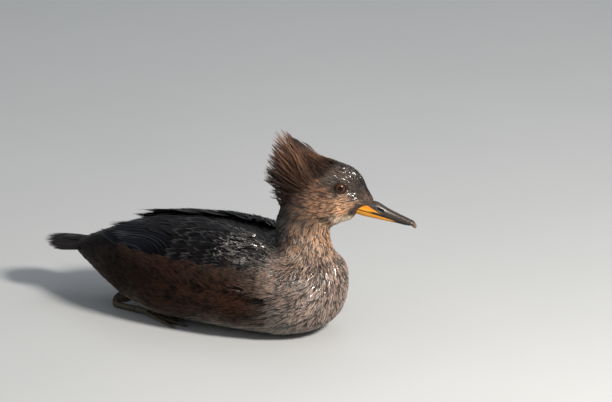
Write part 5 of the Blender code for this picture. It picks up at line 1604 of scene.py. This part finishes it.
def bill_half(name, upper):
    """A closed shell: the outer face with its rim, teeth, nostrils and crease, and a flat inner face."""
    end = UPPER_TIP if upper else LOWER_TIP
    a = (end - (end - BILL_ROOT) * (1 - np.linspace(0, 1, BILL_ROWS)) ** ROWS_CROWD)[:, None]
    half, top, mouth, low = bill_sizes(a)
    turn = np.linspace(0, np.pi, BILL_SIDES)[None, :]
    edge = mouth + MOUTH_GAP / 2 if upper else mouth - MOUTH_GAP / 2
    rise = top - edge if upper else -(edge - low)
    if not upper:
        close = np.sqrt(np.clip((end + 0.4 - a) / 6.0, 0.0, 1.0))
        half, rise = (half - 0.5) * (0.35 + 0.65 * close), rise * (0.3 + 0.7 * close)
    ridge = 0.93 + 0.07 * np.exp(-((turn - np.pi / 2) / 0.35) ** 2)
    out, up = half * np.cos(turn), rise * np.sin(turn) ** (0.86 if upper else 0.8) * (ridge if upper else 1.0)
    share = np.abs(up) / np.maximum(np.abs(rise), 1e-6) + 0 * a
    # The rim along the edge, and its saw teeth
    rim = np.exp(-((share - 0.10) / 0.09) ** 2) * ramp(57 - a, 0, 3)
    out = out * (1 + 0.045 * rim)
    saw = np.abs(((a * TEETH_EACH_MM) % 1) - 0.5) * 2
    teeth = ramp(a, 21, 24) * ramp(55 - a, 0, 3) * np.exp(-(share / 0.10) ** 2) * TEETH_DEPTH * saw
    up = up - teeth if upper else up + teeth
    place = head_place(a + 0 * turn, out, edge + up)
    hollow = 0.0 * share
    if upper:
        # The nostril: a slot sunk into each side
        above = edge + up - NOSTRIL_HEIGHT + 0.45 * (a - NOSTRIL_AT)
        slot = np.exp(-((a - NOSTRIL_AT) / 2.5) ** 4 - (above / 0.95) ** 4)
        slot = slot * (np.abs(np.cos(turn)) > 0.3)
        hollow = ramp(slot, 0.02, 0.9)
        inwards = np.sign(np.cos(turn)) * hollow * NOSTRIL_DEPTH
        place = head_place(a + 0 * turn, out - inwards, edge + up)
        # The crease behind the nail
        crease = np.exp(-((a - NAIL_CREASE_AT - 1.2 * np.sin(turn)) / 0.35) ** 2) * NAIL_CREASE_DEPTH
        place[..., 2] -= crease * np.sin(turn)
    # Close the shell with a flat inner face
    inner_turn = np.linspace(np.pi, 0, 14)[None, 1:-1]
    inner = head_place(a + 0 * inner_turn, half * np.cos(inner_turn) * 0.98, edge + 0 * inner_turn)
    grid = np.concatenate([place, inner], 1)
    points, faces = lofted(grid)
    made = mesh_object(name, points, faces)
    mark(made, "far", np.repeat(a, grid.shape[1], 1).ravel())
    flat = np.zeros((BILL_ROWS, inner.shape[1]))
    for label, values in (("height", share), ("hollow", hollow)):
        mark(made, label, np.concatenate([values, flat], 1).ravel())
    return turn_outwards(made)


def horn(name, upper):
    """Yellow, orange, dusky and black horn, by the attributes far and height, with painted shade in the
    nostrils and along the line of the mouth.
    """
    made = Finish(name, Specular_IOR_Level=0.5)
    far, height = made.value("far"), made.value("height")
    blotch = made.noise(320.0, 4.0, 0.6)
    shift = made.times(made.minus(blotch, 0.5), 4.0)
    dusky, black = (0.020, 0.016, 0.015, 1.0), (0.008, 0.007, 0.008, 1.0)
    yellow, orange, brown = (0.80, 0.34, 0.022, 1.0), (0.68, 0.21, 0.010, 1.0), (0.24, 0.150, 0.085, 1.0)
    place = made.plus(far, shift)
    if upper:
        # The yellow band along the edge narrows forwards and ends past the middle
        limit = made.span(place, 17.0, 36.0, 0.62, 0.04)
        band = made.minus(1.0, made.span(made.minus(height, limit), -0.06, 0.05))
        fade = made.minus(1.0, made.span(place, 30.0, 37.0))
        ridge = made.mix(blotch, dusky, (0.058, 0.040, 0.032, 1.0))
        side = made.mix(made.span(height, 0.0, 0.5), yellow, orange)
        colour = made.mix(made.times(band, fade), ridge, side)
        # Painted shade: from the middle on, the upper half's edge turns black along the line of the mouth
        edge = made.times(made.span(height, 0.20, 0.12), made.span(place, 20.0, 27.0))
        colour = made.mix(edge, colour, black)
        high = made.span(height, 0.15, 0.6, 0.4, 1.0)
        nail = made.times(made.span(far, 57.0, 58.4, 0.0, 0.7), high)
        colour = made.mix(nail, colour, brown)
        # Painted shade: the nostril slot is painted near black
        colour = made.mix(made.span(made.value("hollow"), 0.03, 0.3), colour, (0.002, 0.002, 0.002, 1.0))
    else:
        end = made.span(place, 38.0, 44.0)
        colour = made.mix(end, made.mix(made.span(height, 0.1, 1.0), yellow, orange), black)
        # Painted shade along the line of the mouth: the lower half's edge turns dark brown
        edge = made.times(made.span(height, 0.16, 0.05), 0.85)
        colour = made.mix(edge, colour, (0.10, 0.045, 0.012, 1.0))
    made.feed("Base Color", colour)
    rough = made.span(made.noise(900.0, 3.0), 0.3, 0.7, 0.20, 0.40)
    if upper:
        rough = made.plus(rough, made.span(made.value("hollow"), 0.0, 0.2, 0.0, 0.6))
    made.feed("Roughness", rough)
    turned = {"Vector": made.here(), "Rotation": (0, 0, -HEAD_YAW), "Scale": (0.25, 2.0, 2.0)}
    grain = made.take("Vector", "ShaderNodeMapping", turned)
    made.bump(made.noise(900.0, 3.0, 0.6, grain), 0.18, 0.0002)
    return made.material


hand_in(bill_half("bill_upper_horn", True), ("bill_upper",), horn("upper_horn", True))
hand_in(bill_half("bill_lower_horn", False), ("bill_lower",), horn("lower_horn", False))

# %% [markdown]
# The eye is a ball, deep in the head, with a dark reddish-brown iris, a round black pupil and a wet clear
# coat. The lids close round it in a thin dark rim of bare skin, drawn out a little at the corners before
# and behind.

# %% Eyes and lids
PUPIL, IRIS = 1.9, 4.2
EYE_ROWS = 64
BEHIND_IRIS = 9.0  # the ring's value on the ball's hidden half
LID_CENTRE_OUT, LID_LONG, LID_TALL, LID_THICK = 4.15, 4.90, 4.25, 0.46


def eye_frame(side):
    """The eye's middle, and its directions out, forwards and up."""
    out = eye_axis(side)
    forward = unit(np.cross((0.0, 0.0, 1.0), out)) * side * -1.0
    up = unit(np.cross(out, forward))
    return eye_middle(side), out, forward, up * np.sign(up[2])


def make_eyeball(side, letter):
    """A ball of rings round the eye's axis, with a low bulge over the pupil."""
    middle, out, forward, up = eye_frame(side)
    away = (1 - np.cos(np.linspace(0.0, np.pi, EYE_ROWS))) / 2 * np.pi
    turn = np.linspace(0, 2 * np.pi, EYE_ROWS + 1)[:-1]
    away = np.maximum(away, 0.004)[:, None]
    ring = EYE_RADIUS * np.sin(away)
    depth = EYE_RADIUS * np.cos(away)
    depth = depth + 0.25 * np.exp(-(ring / 2.6) ** 4) * (depth > 0)
    round_axis = np.cos(turn)[:, None] * forward + np.sin(turn)[:, None] * up
    grid = middle + depth[..., None] * out + ring[..., None] * round_axis
    ball = mesh_object(f"eyeball_{letter}", *lofted(grid))
    mark(ball, "ring", np.where(depth > 0, ring, BEHIND_IRIS).repeat(EYE_ROWS, 1).ravel())
    mark(ball, "turned", (turn / (2 * np.pi) + 0 * ring).ravel())
    hand_in(turn_outwards(ball), ("eye_" + letter,), EYE)


def make_lids(side, letter):
    """A ring of bare skin round the eye, a little uneven, that follows the ball's curve."""
    middle, out, forward, up = eye_frame(side)
    along, across = 72, 14
    t = np.linspace(0, 2 * np.pi, along + 1)[:-1][:, None]
    n = np.linspace(0, 2 * np.pi, across + 1)[:-1][None, :]
    corner = 1 + 0.10 * np.abs(np.cos(t)) ** 6
    draw = np.random.default_rng(61 + side)
    thick = LID_THICK * (1 + 0.10 * np.sin(9 * t + side) + 0.06 * draw.normal(0, 1, (along, 1)))
    f = (LID_LONG * corner + thick * 1.25 * np.cos(n)) * np.cos(t)
    u = (LID_TALL + thick * 1.25 * np.cos(n)) * np.sin(t)
    o = LID_CENTRE_OUT + thick * np.sin(n) - 0.10 * (f ** 2 + u ** 2 - 22) * 0.35
    grid = middle + f[..., None] * forward + u[..., None] * up + o[..., None] * out
    # The last ring of quads closes on the first
    last = (along - 1) * across
    faces = grid_faces(along, across)
    faces += [(last + j, j, (j + 1) % across, last + (j + 1) % across) for j in range(across)]
    lids = mesh_object(f"eyelids_{letter}", grid, faces)
    hand_in(turn_outwards(lids), (), LIDS)


def eye_finish():
    made = Finish("eye", Roughness=0.5, Specular_IOR_Level=0.05, Coat_Weight=0.55, Coat_Roughness=0.02,
                  Coat_IOR=1.38)
    ring = made.value("ring")
    around = made.times(made.value("turned"), math.tau)
    spokes = made.take("Vector", "ShaderNodeCombineXYZ", {
        "X": made.times(made.math("COSINE", around), 6.0), "Y": made.times(made.math("SINE", around), 6.0),
        "Z": made.times(ring, 0.35)})
    fibres = made.noise(3.0, 4.0, 0.6, spokes)
    iris = made.mix(fibres, (0.038, 0.011, 0.006, 1.0), (0.120, 0.038, 0.018, 1.0))
    iris = made.mix(made.span(ring, 3.0, 4.0), iris, (0.014, 0.006, 0.004, 1.0))
    colour = made.mix(made.span(ring, PUPIL - 0.3, PUPIL + 0.6), (0.002, 0.002, 0.002, 1.0), iris)
    colour = made.mix(made.span(ring, IRIS, IRIS + 0.2), colour, (0.008, 0.006, 0.006, 1.0))
    made.feed("Base Color", colour)
    return made.material


def lid_finish():
    made = Finish("eyelid_skin", Roughness=0.5, Specular_IOR_Level=0.2)
    colour = made.mix(made.noise(900.0, 3.0), (0.014, 0.009, 0.007, 1.0), (0.036, 0.023, 0.017, 1.0))
    made.feed("Base Color", colour)
    made.bump(made.noise(2200.0, 3.0), 0.5, 0.0002)
    return made.material


EYE, LIDS = eye_finish(), lid_finish()
for side, letter in ((1, "l"), (-1, "r")):
    make_eyeball(side, letter)
    make_lids(side, letter)

# %% [markdown]
# The bird rests on her belly, and her legs fold back under the flanks: the shin comes out of the feathers,
# the shank lies along the floor, and three webbed toes and a small hind toe lie with it. Rods of changing
# thickness run through a few places, the joints swell a little, claws end the toes, and thin webs with a
# drawn-in edge join them. The finish gives them the small plates of a bird's foot.

# %% Legs and feet
LEG_HEEL, LEG_TOP, FOOT_ROOT = (-76.0, 25.0, 4.2), (-61.0, 23.0, 16.0), (-45.0, 28.0)
SHANK_LOW, TOE_RADIUS, FOOT_STUB = 3.0, 1.9, 10.5
TOES = ((2.0, 35.0), (14.0, 46.0), (27.0, 43.0))  # direction in degrees outwards, length
ROD_SIDES = 18
SHIN_BARE = 7.5  # the shin is feathered above this height
SHIN_TONE = (0.060, 0.048, 0.040)
WEB_HALF = 0.22  # half the web's thickness
CLAW = ((0.91, 1.2, (0.8, 0.85)), (0.96, 1.35, (0.6, 0.7)), (1.0, 0.55, (0.12, 0.12)))  # share, height, radii
HIND_TOE = ((0.0, 0.0, 2.2, 1.7), (-5.0, -4.5, 1.6, 1.3), (-9.0, -7.0, 1.0, 0.4))  # from the ankle, radius


def rod(path, radii, steps=6, start=0):
    """A closed round rod through places, with radii (sideways, upwards) at each, smoothed between them."""
    fine = np.linspace(0, len(path) - 1, steps * (len(path) - 1) + 1)
    path, radii = (np.stack([smooth(list(enumerate(column)), fine) for column in zip(*rows)], 1)
                   for rows in (path, radii))
    ahead = np.gradient(path, axis=0)
    side = unit(np.cross((0.0, 0.0, 1.0), ahead))
    up = unit(np.cross(ahead, side))
    turn = np.linspace(0, 2 * np.pi, ROD_SIDES + 1)[:-1]
    across, above = (radii[:, :1] * np.cos(turn))[..., None], (radii[:, 1:] * np.sin(turn))[..., None]
    return lofted(path[:, None] + side[:, None] * across + up[:, None] * above, start)


def joined(name, rods):
    """One object from several closed rods, each made where the last one ended."""
    points, faces = [], []
    for path, radii in rods:
        more, rings = rod(path, radii, start=sum(len(p) for p in points))
        points.append(more)
        faces += rings
    return turn_outwards(mesh_object(name, np.concatenate(points), faces))


def web_sheet(side, ankle, tips):
    """The web between two toes: a thin double sheet, its free edge drawn in, with folds along the toes."""
    along, across = np.linspace(0.06, 1, 24)[:, None], np.linspace(0, 1, 25)[None, :]
    reach = along * (1 - 0.17 * np.sin(np.pi * across) * along)
    x = ankle[0] + (tips[0][0] + (tips[1][0] - tips[0][0]) * across - ankle[0]) * reach
    y = ankle[1] + (tips[0][1] + (tips[1][1] - tips[0][1]) * across - ankle[1]) * reach
    z = 0.62 + 0.16 * np.sin(across * np.pi * 5) * along * np.sin(np.pi * across)
    top, low = stacked(x, side * y, z + WEB_HALF), stacked(x, side * y, z - WEB_HALF)
    return lofted(np.concatenate([top, low[:, ::-1]], 1))


def feather_shin(letter, leg):
    """Short feathers, pointing down, over the upper part of the shin."""
    points = points_of(leg.data) / MM
    mark(leg, "out", normals_of(leg.data), VECTOR)
    roots, outs = sow(leg, (points[:, 2] > SHIN_BARE).astype(float), 1.1, 91)
    draw = np.random.default_rng(92)
    ways = np.array((-0.75, 0.0, -0.55)) + draw.normal(0, 0.12, roots.shape)
    ways = unit(ways - (ways * outs).sum(1)[:, None] * outs)
    count = len(roots)
    tone = np.tile(SHIN_TONE, (count, 1)) * draw.uniform(0.7, 1.3, (count, 1))
    lay("shin_feathers_" + letter, roots, ways, outs, draw.uniform(2.6, 4.4, count), 1.6, -0.2, 0.7, 0.0,
        draw.uniform(0, 1, count), "lock", BODY_FUR, "body_feathers", leg, 0.15, tones=(tone, tone * 0.4))


def toe(ankle, turn, length):
    """A toe with swollen joints, its claw, and where the web ends on it."""
    c, s = math.cos(math.radians(turn)), math.sin(math.radians(turn))
    path, radii = [], []
    for k in range(13):
        t = k / 12
        thick = TOE_RADIUS * (1 - 0.47 * t) * (1 + 0.13 * math.cos(2 * math.pi * t * 3))
        path.append((ankle[0] + length * c * t * 0.94, ankle[1] + length * s * t * 0.94, max(thick, 0.9)))
        radii.append((thick, thick))
    claw = [(ankle[0] + length * c * t, ankle[1] + length * s * t, z) for t, z, _ in CLAW]
    web_end = (ankle[0] + length * c * 0.88, ankle[1] + length * s * 0.88)
    return (path, radii), (claw, [radius for _, _, radius in CLAW]), web_end


def make_leg(side):
    letter = "l" if side > 0 else "r"
    heel, ankle = LEG_HEEL, FOOT_ROOT
    cut = ankle[0] - FOOT_STUB
    slope = (ankle[1] - heel[1]) / (ankle[0] - heel[0])

    def at(x, z):
        return x, heel[1] + slope * (x - heel[0]), z

    def flipped(rods):
        return [([(x, side * y, z) for x, y, z in path], radii) for path, radii in rods]

    shin = ([LEG_TOP, (-69.0, 24.0, 11.0), (-74.0, 25.0, 8.2), heel],
            [(5.2, 6.4), (4.0, 5.0), (2.8, 3.2), (2.5, 2.5)])
    shank = ([at(-78.2, 4.2), at(-76.0, 4.2), at(-69.0, 3.2), at(cut - 0.2, SHANK_LOW)],
             [(1.3, 1.5), (2.9, 3.3), (1.9, 2.7), (1.9, 2.6)])
    leg = joined("leg_skin_" + letter, flipped([shin, shank]))
    feather_shin(letter, leg)
    hand_in(leg, ("leg_" + letter,), SKIN)
    rods = [([at(cut + 0.2, SHANK_LOW), at(-50.0, SHANK_LOW), at(ankle[0] + 2.0, SHANK_LOW - 0.2)],
             [(1.95, 2.7), (2.1, 2.7), (2.7, 2.6)])]
    web_ends = []
    for turn, length in TOES:
        bone, claw, web_end = toe(ankle, turn, length)
        rods += [bone, claw]
        web_ends.append(web_end)
    hind_toe = [(ankle[0] + x, ankle[1] + y, z) for x, y, z, _ in HIND_TOE]
    rods.append((hind_toe, [(thick, thick) for *_, thick in HIND_TOE]))
    hand_in(joined("foot_skin_" + letter, flipped(rods)), ("foot_" + letter,), SKIN)
    for n, pair in enumerate(zip(web_ends, web_ends[1:])):
        web = mesh_object(f"web_{letter}_{n + 1}", *web_sheet(side, ankle, pair))
        hand_in(turn_outwards(web), (), WEBS)


def foot_finish(name, low, high, plates):
    made = Finish(name, Roughness=0.42, Specular_IOR_Level=0.5)
    cells = made.take("Distance", "ShaderNodeTexVoronoi", {"Vector": made.here(), "Scale": plates},
                      feature="DISTANCE_TO_EDGE")
    gap = made.span(cells, 0.0, 0.12)
    colour = made.mix(made.noise(160.0, 4.0, 0.6), low, high)
    made.feed("Base Color", made.mix(gap, made.mix(0.6, colour, (0.03, 0.025, 0.02, 1.0)), colour))
    made.bump(gap, 0.5, 0.0002)
    return made.material


SKIN = foot_finish("leg_and_toe_skin", (0.060, 0.047, 0.032, 1.0), (0.125, 0.095, 0.055, 1.0), 900.0)
WEBS = foot_finish("web_skin", (0.030, 0.025, 0.021, 1.0), (0.070, 0.055, 0.040, 1.0), 1400.0)
make_leg(1)
make_leg(-1)

# %% [markdown]
# The floor is part of the studio and not of the bird. Last, the cards and the guide faces are removed.

# %% Floor and the end
FLOOR_HALF = 40000  # millimetres, so that its edge lies on the horizon in low views
corners = [(x * FLOOR_HALF, y * FLOOR_HALF, 0) for x, y in ((-1, -1), (1, -1), (1, 1), (-1, 1))]
floor = mesh_object("floor", corners, [(0, 1, 2, 3)])
paper = Finish("pale_paper", Roughness=0.75, Specular_IOR_Level=0.25)
paper.feed("Base Color", paper.mix(paper.noise(6.0, 2.0), (0.53, 0.54, 0.55, 1.0), (0.57, 0.575, 0.58, 1.0)))
floor.data.materials.append(paper.material)
for guide in (*(card for held in CARDS.values() for card in held.objects), wing_surface, tail_surface):
    bpy.data.objects.remove(guide)
for held in CARDS.values():
    bpy.data.collections.remove(held)
